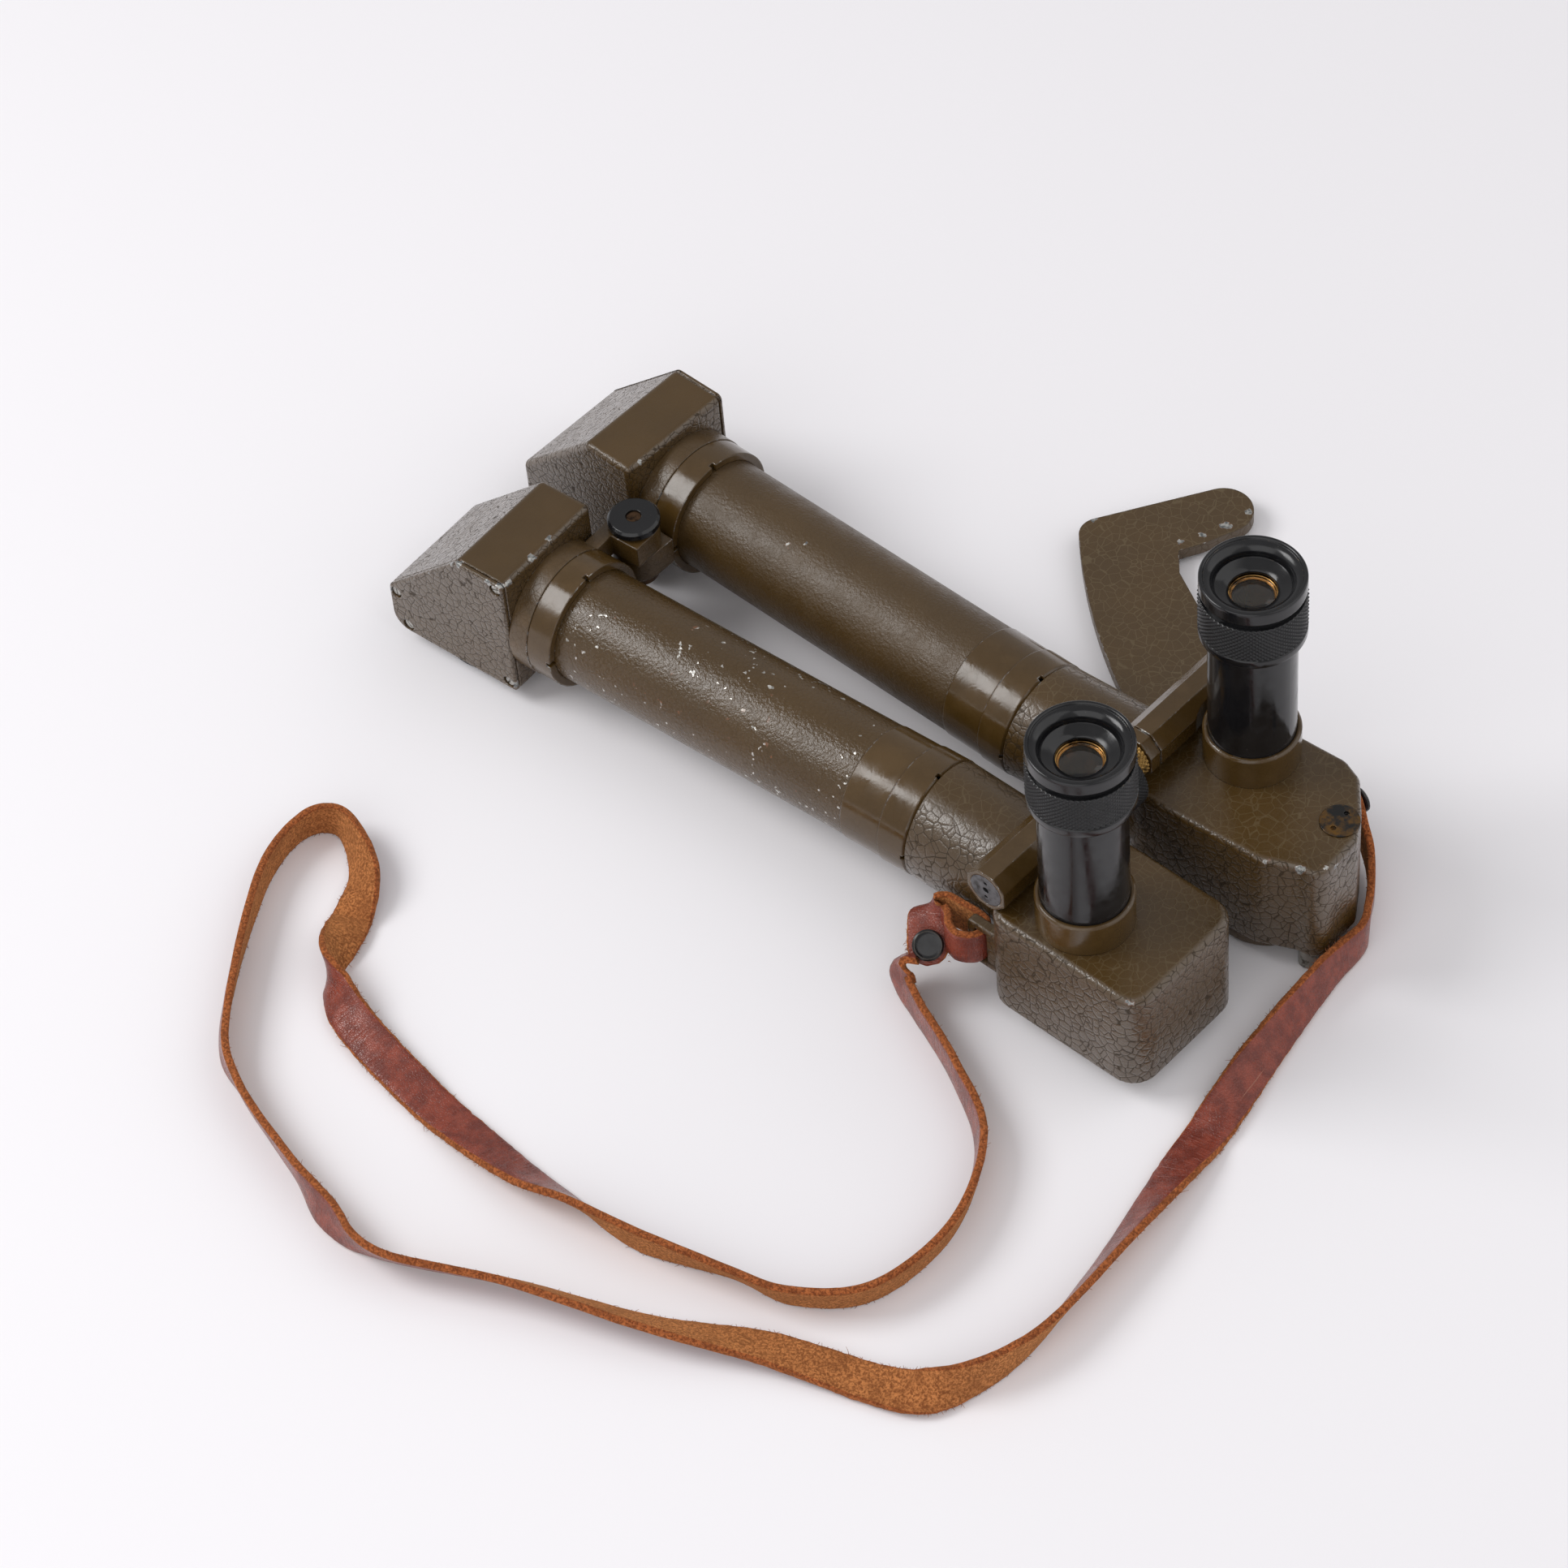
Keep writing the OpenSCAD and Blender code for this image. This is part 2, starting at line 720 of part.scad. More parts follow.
module right_housing() {
    color(olive)
        at_housing()
            difference() {
                union() {
                    house_block(right_front, right_outer, right_inner)
                        right_plan(0, house_corner);
                    socket_outside();
                    side_ear();
                }
                difference() {
                    translate([0, 0, house_bottom + 1.6])
                        linear_extrude(house_top - house_bottom - 4)
                            rounded([house_wall - house_back, house_wall - right_outer],
                                [22, right_inner - house_wall], house_corner - house_wall);
                    translate([drive_place().x, drive_place().y, house_top - 8.4])
                        cylinder(r = 4.5, h = 9);
                }
                translate([0, 0, house_bottom - 1])
                    linear_extrude(2.6)
                        rounded([1.3 - house_back, 1.3 - right_outer],
                            [23.1, right_inner - 1.3], house_corner - 1.3);
                housing_cuts();
                translate([drive_place().x, drive_place().y, house_top - 6.4])
                    cylinder(r = drive_r + seat, h = 10, $fn = 32);
                translate([lobe.x, lobe.y, house_bottom - 1])
                    cylinder(r = 2 + seat, h = 10, $fn = 32);
                translate([plug.x, plug.y, house_top - 0.8])
                    cylinder(r = 5 + seat, h = 2);
            }
}

// The drive pin's place: from the left housing's frame into the right housing's
function turned(p, a) = [p.x * cos(a) - p.y * sin(a), p.x * sin(a) + p.y * cos(a)];
function from_housing(p) =
    [joint_end, 0] + turned([eye_run, -eye_offset] + p, -toe_out);
function to_housing(p) =
    turned(p - [joint_end, 0], toe_out) - [eye_run, -eye_offset];
function to_right(p) =
    let (q = turned(p - [hinge_x, hinge_side], converge))
    [q.x + hinge_x, hinge_side - q.y];
function from_right(p) =
    [hinge_x, hinge_side] + turned([p.x - hinge_x, hinge_side - p.y], -converge);
function right_eye_place() = to_housing(from_right(from_housing([0, 0])));
function drive_place() = to_housing(to_right(from_housing([-bar_back, drive_y])));

module prisms() {
    leg = prism_leg;
    low = tube_z - leg / 2;
    color(crystal)
        at_housing() {
            translate([0, eye_offset, low])
                linear_extrude(leg)
                    polygon([
                        [-leg / 2, -leg / 2], [-leg / 2, leg / 2], [leg / 2, -leg / 2]
                    ]);
            translate([-leg / 2, 0, tube_z])
                rotate([90, 0, 90])
                    linear_extrude(leg)
                        polygon([
                            [leg / 2, -leg / 2], [leg / 2, leg / 2], [-leg / 2, leg / 2]
                        ]);
        }
}

module prism_table() {
    translate([-6, -6, house_bottom + 1])
        cube([12, eye_offset + 12, tube_z - prism_leg / 2 - house_bottom - 1]);
}

module left_base_cover() {
    color(olive)
        at_housing() {
            translate([0, 0, house_bottom])
                linear_extrude(1.55)
                    left_plan(1.3 + seat, house_corner - 1.3 - seat);
            prism_table();
            rotate_extrude()
                polygon([
                    [0, 0], [foot_r - 1, 0], [foot_r, 1], [foot_r, house_bottom + 1],
                    [0, house_bottom + 1]
                ]);
        }
}

module right_base_cover() {
    color(olive)
        at_housing()
            difference() {
                union() {
                    translate([0, 0, house_bottom])
                        linear_extrude(1.55)
                            rounded([1.3 + seat - house_back, 1.3 + seat - right_outer],
                                [23.1 - seat, right_inner - 1.3 - seat],
                                house_corner - 1.3 - seat);
                    prism_table();
                    translate([hook_at.x, hook_at.y, house_bottom + 1])
                        cylinder(r = 5.5, h = 6);
                }
                translate([hook_at.x, hook_at.y, house_bottom - 1])
                    cylinder(r = hook_pin_r + seat, h = 7);
            }
}

// Eyepiece: fixed tube, focus ring, eyecup and the sliding cell with its lenses
module eyepiece_collar() {
    color(olive)
        at_housing()
            translate([0, 0, house_top])
                rotate_extrude()
                    polygon([
                        [eye_tube_r + seat, 0], [eye_collar_r, 0],
                        [eye_collar_r, eye_collar_h - 0.5],
                        [eye_collar_r - 0.5, eye_collar_h], [eye_tube_r + seat, eye_collar_h]
                    ]);
}

module eyepiece_tube() {
    color(black)
        at_housing()
            rotate_extrude()
                polygon([
                    [eye_bore, house_top - 2.3], [eye_tube_r, house_top - 2.3],
                    [eye_tube_r, seat_z - 0.3], [eye_tube_r - 0.3, seat_z],
                    [thread_r, seat_z], [thread_r, ring_top - 4], [eye_bore, ring_top - 4]
                ]);
}

module focus_ring() {
    color(black)
        at_housing()
            difference() {
                union() {
                    translate([0, 0, ring_mid])
                        knurled(focus_r, knurl_h, knurl_teeth, 0.4);
                    rotate_extrude()
                        polygon([
                            [1, ring_low], [focus_r - 0.6, ring_low],
                            [focus_r - 0.1, ring_low + 0.5], [focus_r - 0.1, ring_mid],
                            [1, ring_mid]
                        ]);
                }
                translate([0, 0, ring_low - 1])
                    cylinder(r = thread_r + run, h = focus_band_h + knurl_h - 1.8);
                cylinder(r = eye_bore, h = ring_top + 10);
            }
}

module eyecup() {
    color(black)
        at_housing()
            rotate_extrude()
                polygon([
                    [eye_lens_r + 0.4, ring_top], [focus_r - 1.2, ring_top],
                    [focus_r - 1.2, ring_top + 2], [cup_r, ring_top + 2],
                    [cup_r, cup_top - 0.6], [cup_r - 0.6, cup_top], [cup_r - 1.8, cup_top],
                    [cup_r - 4, ring_top + 2.4], [cup_r - 4.3, ring_top + 1.7],
                    [eye_lens_r + 1, ring_top + 1], [eye_lens_r + 0.4, ring_top + 0.4]
                ]);
}

module eye_cell() {
    out = eye_bore - run;
    top = ring_top - 0.5;
    color(black)
        at_housing()
            rotate_extrude()
                polygon([
                    [out - 1, ring_top - 26], [out, ring_top - 26], [out, top],
                    [eye_lens_r + seat, top], [eye_lens_r + seat, top - 1.2],
                    [eye_lens_r - 0.6, top - 1.2], [eye_lens_r - 0.6, top - 2.2],
                    [out - 1, top - 2.2]
                ]);
}

module eye_lenses() {
    color(crystal)
        at_housing() {
            translate([0, 0, ring_top - 1.65])
                plano_convex(eye_lens_r, 0.6, 18);
            translate([0, 0, ring_top - 22])
                biconvex(eye_bore - run - 1 - seat, 1.4, 24);
        }
}

// Hinge
module hinge_pin() {
    color(steel)
        translate([hinge_x, hinge_side, 0]) {
            translate([0, 0, lug_low - 3])
                cylinder(r = 5, h = 3 - seat);
            translate([0, 0, lug_low - 1])
                cylinder(r = pin_r, h = lug_top - lug_low + 1);
            cylinder(r = pin_r - 1, h = lug_top + knob_h - 0.4);
        }
}

module hinge_pin_trimmed() {
    intersection() {
        hinge_pin();
        translate([hinge_x - 10, hinge_side - 10, lug_low - 3])
            cube([20, 20, 40]);
    }
}

module hinge_washer() {
    color(brass)
        translate([hinge_x, hinge_side, lug_mid])
            pipe(lug_r - 0.4, pin_r + run, washer_thick - seat);
}

module hinge_knob() {
    color(black)
        translate([hinge_x, hinge_side, lug_top + seat])
            rotate_extrude()
                polygon([
                    [pin_r - 1 + run, 0], [knob_r - 0.8, 0], [knob_r, 0.8],
                    [knob_r, knob_h - 0.7], [knob_r - 0.7, knob_h], [pin_r - 1 + run, knob_h]
                ]);
}

// Bridge: hollow octagonal bar, spindle with wheel and bush, and the sliding block
module bridge_bar() {
    color(olive)
        at_housing()
            difference() {
                at_bar(-bar_start)
                    linear_extrude(bar_start + bar_end)
                        octagon(bar_flats);
                at_bar(-bar_start - 1)
                    cylinder(r = spindle_r + run, h = bar_start + bar_end + 2);
                at_bar(-bar_start - 1)
                    cylinder(r = bar_flats / 2 - 1, h = 2.2);
            }
}

module bridge_end_cap() {
    color(steel)
        at_housing()
            difference() {
                at_bar(-bar_start)
                    cylinder(r = bar_flats / 2 - 1 - seat, h = 1.2 - seat);
                for (s = [-2.4, 0, 2.4])
                    translate([0, 0, s])
                        at_bar(-bar_start - 1)
                            cylinder(r = s == 0 ? 0.9 : 0.5, h = 4, $fn = 24);
            }
}

module bridge_spindle() {
    color(steel)
        at_housing() {
            at_bar(-4)
                cylinder(r = spindle_r, h = block_at + 10);
            at_bar(wheel_at - 1.2)
                cylinder(r = spindle_r + 1.6, h = 1.15);
        }
}

module bridge_wheel() {
    color(black)
        at_housing()
            at_bar(wheel_at)
                difference() {
                    knurled(wheel_r, wheel_w, 52, 0.4);
                    translate([0, 0, -1])
                        cylinder(r = spindle_r + 0.02, h = wheel_w + 2);
                }
}

module bridge_bush() {
    color(brass)
        at_housing()
            at_bar(bush_at + seat)
                difference() {
                    knurled(bush_r, bush_w - seat - gap, 30, 0.35);
                    translate([0, 0, -1])
                        cylinder(r = spindle_r + 0.02, h = bush_w + 2);
                }
}

module bridge_block() {
    slot = drive_r + run;
    eye = right_eye_place();
    color(olive)
        at_housing()
            difference() {
                at_bar(plate_at)
                    linear_extrude(block_end - plate_at)
                        octagon(bar_flats);
                at_bar(plate_at - 1)
                    cylinder(r = spindle_r + run, h = block_at - plate_at + 9);
                at_bar(plate_at - 1)
                    translate([-10, -1 - gap + bar_flats / 2, 0])
                        cube([20, 4, block_end]);
                translate([-bar_back - slot - 2, drive_y - slot, house_top - 1])
                    cube([2 * slot + 3, 2 * slot, 5.4]);
                translate([eye.x, eye.y, house_top - 1])
                    cylinder(r = eye_collar_r + block_relief, h = bar_flats + 2);
                at_bar(block_at)
                    translate([-10, -10, -0.2])
                        difference() {
                            cube([20, 20, 0.4]);
                            translate([10, 10, -1])
                                cylinder(r = bar_flats / 2 - 0.4, h = 3);
                        }
            }
}

module bridge_drive_pin() {
    color(steel)
        at_housing()
            translate([-bar_back, drive_y, house_top - 6.4])
                cylinder(r = drive_r, h = 9.6, $fn = 32);
}

// Hook plate under the right housing, drawn about its pivot
module hook_outline() {
    circle(hook_hub_r);
    intersection() {
        translate([40.6, 191.8])
            circle(192.7, $fn = 180);
        polygon([
            [-9, -11], [-40, 2], [-70, 24], [-104, 56], [-108.8, 70.1], [-104.4, 73.7],
            [-108.9, 77.2], [-89.3, 103.7], [-76, 95], [-80.5, 86], [-84.2, 80.5],
            [-79.5, 74.2], [-60, 62], [-34, 40], [9, 10.8]
        ]);
    }
    translate([-104.4, 73.7])
        circle(5.7);
    translate([-83, 98.8])
        circle(hook_tip_r);
}

module at_hook_pivot() {
    right_side()
        at_housing()
            translate([hook_at.x, hook_at.y, 0])
                rotate([0, 0, toe_out])
                    mirror([0, 1, 0])
                        rotate([0, 0, converge])
                            children();
}

module hook_plate() {
    color(olive)
        at_hook_pivot()
            difference() {
                union() {
                    translate([0, 0, hook_low])
                        linear_extrude(hook_thick)
                            hook_outline();
                    translate([0, 0, hook_low])
                        cylinder(r = hook_hub_r, h = house_bottom - hook_low - seat);
                }
                translate([0, 0, hook_low - 1])
                    cylinder(r = hook_pin_r + run, h = 8);
            }
}

module hook_pivot_screw() {
    color(steel)
        at_hook_pivot() {
            translate([0, 0, hook_low - 1.4])
                cylinder(r = hook_pin_r + 3, h = 1.4 - seat);
            translate([0, 0, hook_low - 0.5])
                cylinder(r = hook_pin_r, h = house_bottom - hook_low + 6);
        }
}

module support_pin() {
    color(steel)
        at_housing()
            translate([lobe.x, lobe.y, 0]) {
                rotate_extrude()
                    polygon([
                        [0, 0], [2.1, 0], [2.5, 0.4], [2.5, house_bottom - seat],
                        [0, house_bottom - seat]
                    ]);
                cylinder(r = 2, h = house_bottom + 8.8, $fn = 32);
            }
}

module brass_plug() {
    color(brass)
        at_housing()
            translate([plug.x, plug.y, house_top - 0.8])
                difference() {
                    cylinder(r = 5, h = 1.2);
                    for (s = [-2.8, 2.8])
                        translate([0, s, 0.4])
                            cylinder(r = 0.7, h = 2, $fn = 24);
                }
}

// Strap
module strap_loop(route) {
    color(leather)
        ribbon(route, 3);
}

module strap_snap(place) {
    color(black)
        translate(place[0])
            rotate(place[1])
                translate([0, 0, strap_t / 2 + 2 * gap])
                    rotate_extrude()
                        polygon([
                            [0, 0], [snap_r - 0.4, 0], [snap_r, 0.4], [snap_r, 0.9],
                            [snap_r - 0.5, 1.3], [snap_r - 1.2, 1], [0, 1]
                        ]);
}

module strap() {
    color(leather)
        ribbon(strap_route, 2);
}

objective_bezel();  // left_objective_bezel
objective_lens();  // left_objective_lens
head();  // left_head
head_cover();  // left_head_cover
cover_screws();  // left_cover_screws
roof_prism();  // left_roof_prism
hinge_collar(lug_mid + washer_thick, lug_top, pin_r + seat);  // left_hinge_collar
lock_ring();  // left_lock_ring
tube();  // left_tube
tube_band();  // left_tube_band
joint_ring();  // left_joint_ring
left_housing();
prisms();  // left_prisms
left_base_cover();
eyepiece_collar();  // left_eyepiece_collar
eyepiece_tube();  // left_eyepiece_tube
focus_ring();  // left_focus_ring
eyecup();  // left_eyecup
eye_cell();  // left_eye_cell
eye_lenses();  // left_eye_lenses
strap_loop(left_loop);  // left_strap_loop
strap_snap(left_snap);  // left_strap_snap
right_side() objective_bezel();  // right_objective_bezel
right_side() objective_lens();  // right_objective_lens
right_side() head();  // right_head
right_side() head_cover();  // right_head_cover
right_side() cover_screws();  // right_cover_screws
right_side() roof_prism();  // right_roof_prism
right_side() hinge_collar(lug_low, lug_mid, pin_r + run);  // right_hinge_collar
right_side() lock_ring();  // right_lock_ring
right_side() tube();  // right_tube
right_side() tube_band();  // right_tube_band
right_side() joint_ring();  // right_joint_ring
right_side() right_housing();
right_side() prisms();  // right_prisms
right_side() right_base_cover();
right_side() eyepiece_collar();  // right_eyepiece_collar
right_side() eyepiece_tube();  // right_eyepiece_tube
right_side() focus_ring();  // right_focus_ring
right_side() eyecup();  // right_eyecup
right_side() eye_cell();  // right_eye_cell
right_side() eye_lenses();  // right_eye_lenses
right_side() at_housing() strap_loop(right_loop);  // right_strap_loop
right_side() at_housing() strap_snap(right_snap);  // right_strap_snap
hinge_pin_trimmed();  // hinge_pin
hinge_washer();
hinge_knob();
bridge_bar();
bridge_end_cap();
bridge_spindle();
bridge_wheel();
bridge_bush();
bridge_block();
bridge_drive_pin();
hook_plate();
hook_pivot_screw();
right_side() support_pin();
right_side() brass_plug();
strap();
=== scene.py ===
import bmesh
import bpy
import math
import random
from mathutils import Matrix, Vector, noise


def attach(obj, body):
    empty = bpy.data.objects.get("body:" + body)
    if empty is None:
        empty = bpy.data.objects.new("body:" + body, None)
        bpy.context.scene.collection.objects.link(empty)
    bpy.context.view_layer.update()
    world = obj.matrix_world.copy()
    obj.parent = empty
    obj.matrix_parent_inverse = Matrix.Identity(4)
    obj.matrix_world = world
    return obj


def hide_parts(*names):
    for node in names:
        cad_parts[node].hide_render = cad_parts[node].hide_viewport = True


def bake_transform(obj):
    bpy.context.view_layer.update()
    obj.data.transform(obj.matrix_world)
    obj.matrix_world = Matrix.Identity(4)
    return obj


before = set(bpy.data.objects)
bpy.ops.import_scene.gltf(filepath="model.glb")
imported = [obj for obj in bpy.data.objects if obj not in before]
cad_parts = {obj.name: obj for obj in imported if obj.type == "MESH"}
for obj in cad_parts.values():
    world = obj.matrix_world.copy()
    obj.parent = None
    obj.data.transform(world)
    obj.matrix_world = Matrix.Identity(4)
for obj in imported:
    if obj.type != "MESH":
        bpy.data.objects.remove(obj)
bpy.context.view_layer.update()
MM = 0.001


# Places, in mm. The left telescope's frame is the frame of the whole part.
def shift(x, y, z=0.0):
    return Matrix.Translation((x, y, z))


def turn(deg, axis="Z"):
    return Matrix.Rotation(math.radians(deg), 4, axis)


def along_x(y=0.0, z=0.0):
    """Lays a shape's Z along X, with its X along Y and its Y upright."""
    return Matrix(((0, 0, 1, 0), (1, 0, 0, y), (0, 1, 0, z), (0, 0, 0, 1)))


def along_y():
    """Lays a shape's Z against Y, with its Y upright."""
    return Matrix(((1, 0, 0, 0), (0, 0, -1, 0), (0, 1, 0, 0), (0, 0, 0, 1)))


HINGE_X, HINGE_SIDE = 27.9, 24.6
TUBES_CLOSE = 4.6
AXIS_Z = 22.3
JOINT_END = 145.1
HOUSE_TURN, HOUSE_X, HOUSE_Y = 4.07, 55.4, 10.9
HOUSE_LOW, HOUSE_TOP = 6, 38.4
LEFT = Matrix.Identity(4)
RIGHT = (shift(HINGE_X, HINGE_SIDE) @ turn(-TUBES_CLOSE) @ shift(-HINGE_X, HINGE_SIDE)
         @ Matrix.Diagonal((1, -1, 1, 1)))
HOUSE = shift(JOINT_END, 0) @ turn(-HOUSE_TURN) @ shift(HOUSE_X, -HOUSE_Y)
SIDES = (("left", LEFT), ("right", RIGHT))


# Camera, in metres, fitted to the photo by points on the CAD
CAM_RIGHT = Vector((0.78324, 0.61837, -0.06437)).normalized()
CAM_AHEAD = Vector((-0.43939, 0.47732, -0.76099)).normalized()
CAM_AT = (0.67413, -0.63089, 1.00610)
SENSOR, LENS = 36, 119.87


def camera():
    cam = bpy.data.objects.new("camera", bpy.data.cameras.new("camera"))
    bpy.context.scene.collection.objects.link(cam)
    bpy.context.scene.camera = cam
    up = CAM_RIGHT.cross(CAM_AHEAD).normalized()
    right = CAM_AHEAD.cross(up).normalized()
    rows = [(right[k], up[k], -CAM_AHEAD[k], CAM_AT[k]) for k in range(3)]
    cam.matrix_world = Matrix(rows + [(0, 0, 0, 1)])
    cam.data.sensor_width = SENSOR
    cam.data.lens = LENS
    cam.data.clip_start = 0.01


camera()


# Node materials
def srgb(r, g, b):
    def linear(c):
        c /= 255
        return c / 12.92 if c <= 0.04045 else ((c + 0.055) / 1.055) ** 2.4
    return (linear(r), linear(g), linear(b), 1)


def dark(colour, k):
    return [c * k for c in colour[:3]] + [1]


class Mat:
    """A material. Its nodes take numbers, colours or the outputs of other nodes."""

    def __init__(self, name):
        self.made = bpy.data.materials.new(name)
        self.made.use_nodes = True
        self.tree = self.made.node_tree
        self.shader = self.tree.nodes["Principled BSDF"]

    def put(self, socket, value):
        if isinstance(value, bpy.types.NodeSocket):
            self.tree.links.new(value, socket)
        elif value is not None:
            socket.default_value = value

    def add(self, kind, props=None, **inputs):
        """A new node. An input goes by its name, with _ for a space, or by i and its number."""
        node = self.tree.nodes.new("ShaderNode" + kind)
        for key, value in (props or {}).items():
            setattr(node, key, value)
        for key, value in inputs.items():
            numbered = key[0] == "i" and key[1:].isdigit()
            self.put(node.inputs[int(key[1:]) if numbered else key.replace("_", " ")], value)
        return node

    def math(self, op, a, b, clamp=False):
        node = self.add("Math", {"operation": op, "use_clamp": clamp}, i0=a, i1=b)
        return node.outputs[0]

    def times(self, a, b):
        return self.math("MULTIPLY", a, b)

    def plus(self, a, b):
        return self.math("ADD", a, b)

    def most(self, a, b):
        return self.math("MAXIMUM", a, b)

    def vector(self, op, output="Vector", **inputs):
        return self.add("VectorMath", {"operation": op}, **inputs).outputs[output]

    def span(self, value, low, high, to_low=0.0, to_high=1.0):
        """Takes low to high smoothly over into to_low to to_high."""
        props = {"clamp": True, "interpolation_type": "SMOOTHSTEP"}
        node = self.add("MapRange", props, Value=value, From_Min=low, From_Max=high,
                        To_Min=to_low, To_Max=to_high)
        return node.outputs[0]

    def mix(self, factor, a, b):
        return self.add("Mix", {"data_type": "RGBA"}, i0=factor, i6=a, i7=b).outputs[2]

    def noise(self, at, scale, detail=3.0, rough=0.55):
        return self.add("TexNoise", Vector=at, Scale=scale, Detail=detail, Roughness=rough).outputs[0]

    def cells(self, at, scale):
        """Distance to the nearest border in a net of random cells."""
        props = {"feature": "DISTANCE_TO_EDGE"}
        return self.add("TexVoronoi", props, Vector=at, Scale=scale).outputs["Distance"]

    def place(self):
        return self.add("TexCoord").outputs["Object"]

    def stretched(self, at, scale):
        return self.add("Mapping", Vector=at, Scale=scale).outputs[0]

    def warp(self, at, scale, amount):
        """The place, pushed about by up to half of amount, in metres."""
        wave = self.add("TexNoise", Vector=at, Scale=scale, Detail=2.0).outputs["Color"]
        push = self.vector("SUBTRACT", i0=wave, i1=(0.5, 0.5, 0.5))
        return self.vector("ADD", i0=at, i1=self.vector("SCALE", i0=push, Scale=amount))

    def bump(self, height, strength, depth, normal=None):
        node = self.add("Bump", Height=height, Strength=strength, Distance=depth, Normal=normal)
        return node.outputs[0]

    def rim(self, radius):
        """Rounded normals, and how far each place is bent by a nearby edge."""
        soft = self.add("Bevel", {"samples": 6}, Radius=radius).outputs[0]
        flat = self.add("NewGeometry").outputs["True Normal"]
        same = self.vector("DOT_PRODUCT", "Value", i0=soft, i1=flat)
        return soft, self.math("SUBTRACT", 1.0, same)

    def out(self, **inputs):
        for key, value in inputs.items():
            self.put(self.shader.inputs[key.replace("_", " ")], value)
        return self.made


# Olive enamel. Noise and cells have scales per metre, and widths of lines are shares of a cell.
OLIVE = srgb(70, 51, 22)
CLEAN, CRACKED = dark(OLIVE, 1.18), dark(OLIVE, 0.34)
NET_LINE = srgb(118, 104, 78)
DUST = srgb(122, 96, 62)
PRIMER, RUST = srgb(134, 84, 46), srgb(52, 46, 38)
CHIP_METAL = (srgb(96, 98, 98), srgb(178, 177, 172))
FLECK_METAL = (srgb(150, 148, 142), srgb(222, 220, 214))
FINER = 2.3
COARSE_GRAIN = 0.5
EDGE_ROUND, FINE_ROUND = 0.0006, 0.0004


def crackle(mat, place, cell, big, much):
    """Distances to the lines of a coarse and a finer net, and how open the cracks are."""
    wavy = mat.warp(place, 260.0, 0.0006)
    edge = mat.cells(wavy, cell)
    small = mat.cells(wavy, cell * FINER)
    patches = mat.times(mat.span(small, 0.01, 0.06, 0.45, 0.0), mat.span(big, 0.5, 0.6))
    lines = mat.most(mat.span(edge, 0.016, 0.056, 1.0, 0.0), patches)
    return edge, small, mat.times(lines, much)


def bare_flecks(mat, place):
    """Small flecks and larger ones, thick in some stretches and missing in others."""
    where = mat.span(mat.noise(place, 24.0, 1.5), 0.40, 0.62)
    tiny = mat.span(mat.noise(mat.warp(place, 900.0, 0.0008), 520.0, 1.5, 0.7), 0.67, 0.68)
    large = mat.span(mat.noise(mat.warp(place, 700.0, 0.001), 260.0, 2.0, 0.7), 0.69, 0.70)
    return mat.times(mat.most(tiny, large), mat.span(where, 0.3, 0.6))


def worn(mat, place, big, bent, chips, flecks, spots):
    """Where the coat is gone: along edges, in flecks, and at spots (x, y, z, radius) in mm."""
    level = 1.02 - chips * 0.4
    ragged = mat.plus(mat.noise(place, 420.0, 4.0, 0.65), mat.times(big, 0.5))
    edges = mat.span(bent, 0.03, 0.12)
    wear = mat.math("MULTIPLY", edges, mat.span(ragged, level, level + 0.07), clamp=True)
    if flecks:
        wear = mat.most(wear, bare_flecks(mat, place))
    near = mat.warp(place, 520.0, 0.0026)
    for x, y, z, r in spots:
        far = mat.vector("DISTANCE", "Value", i0=near, i1=(x * MM, y * MM, z * MM))
        wear = mat.most(wear, mat.span(far, r * 0.9 * MM, r * 1.15 * MM, 1.0, 0.0))
    return wear


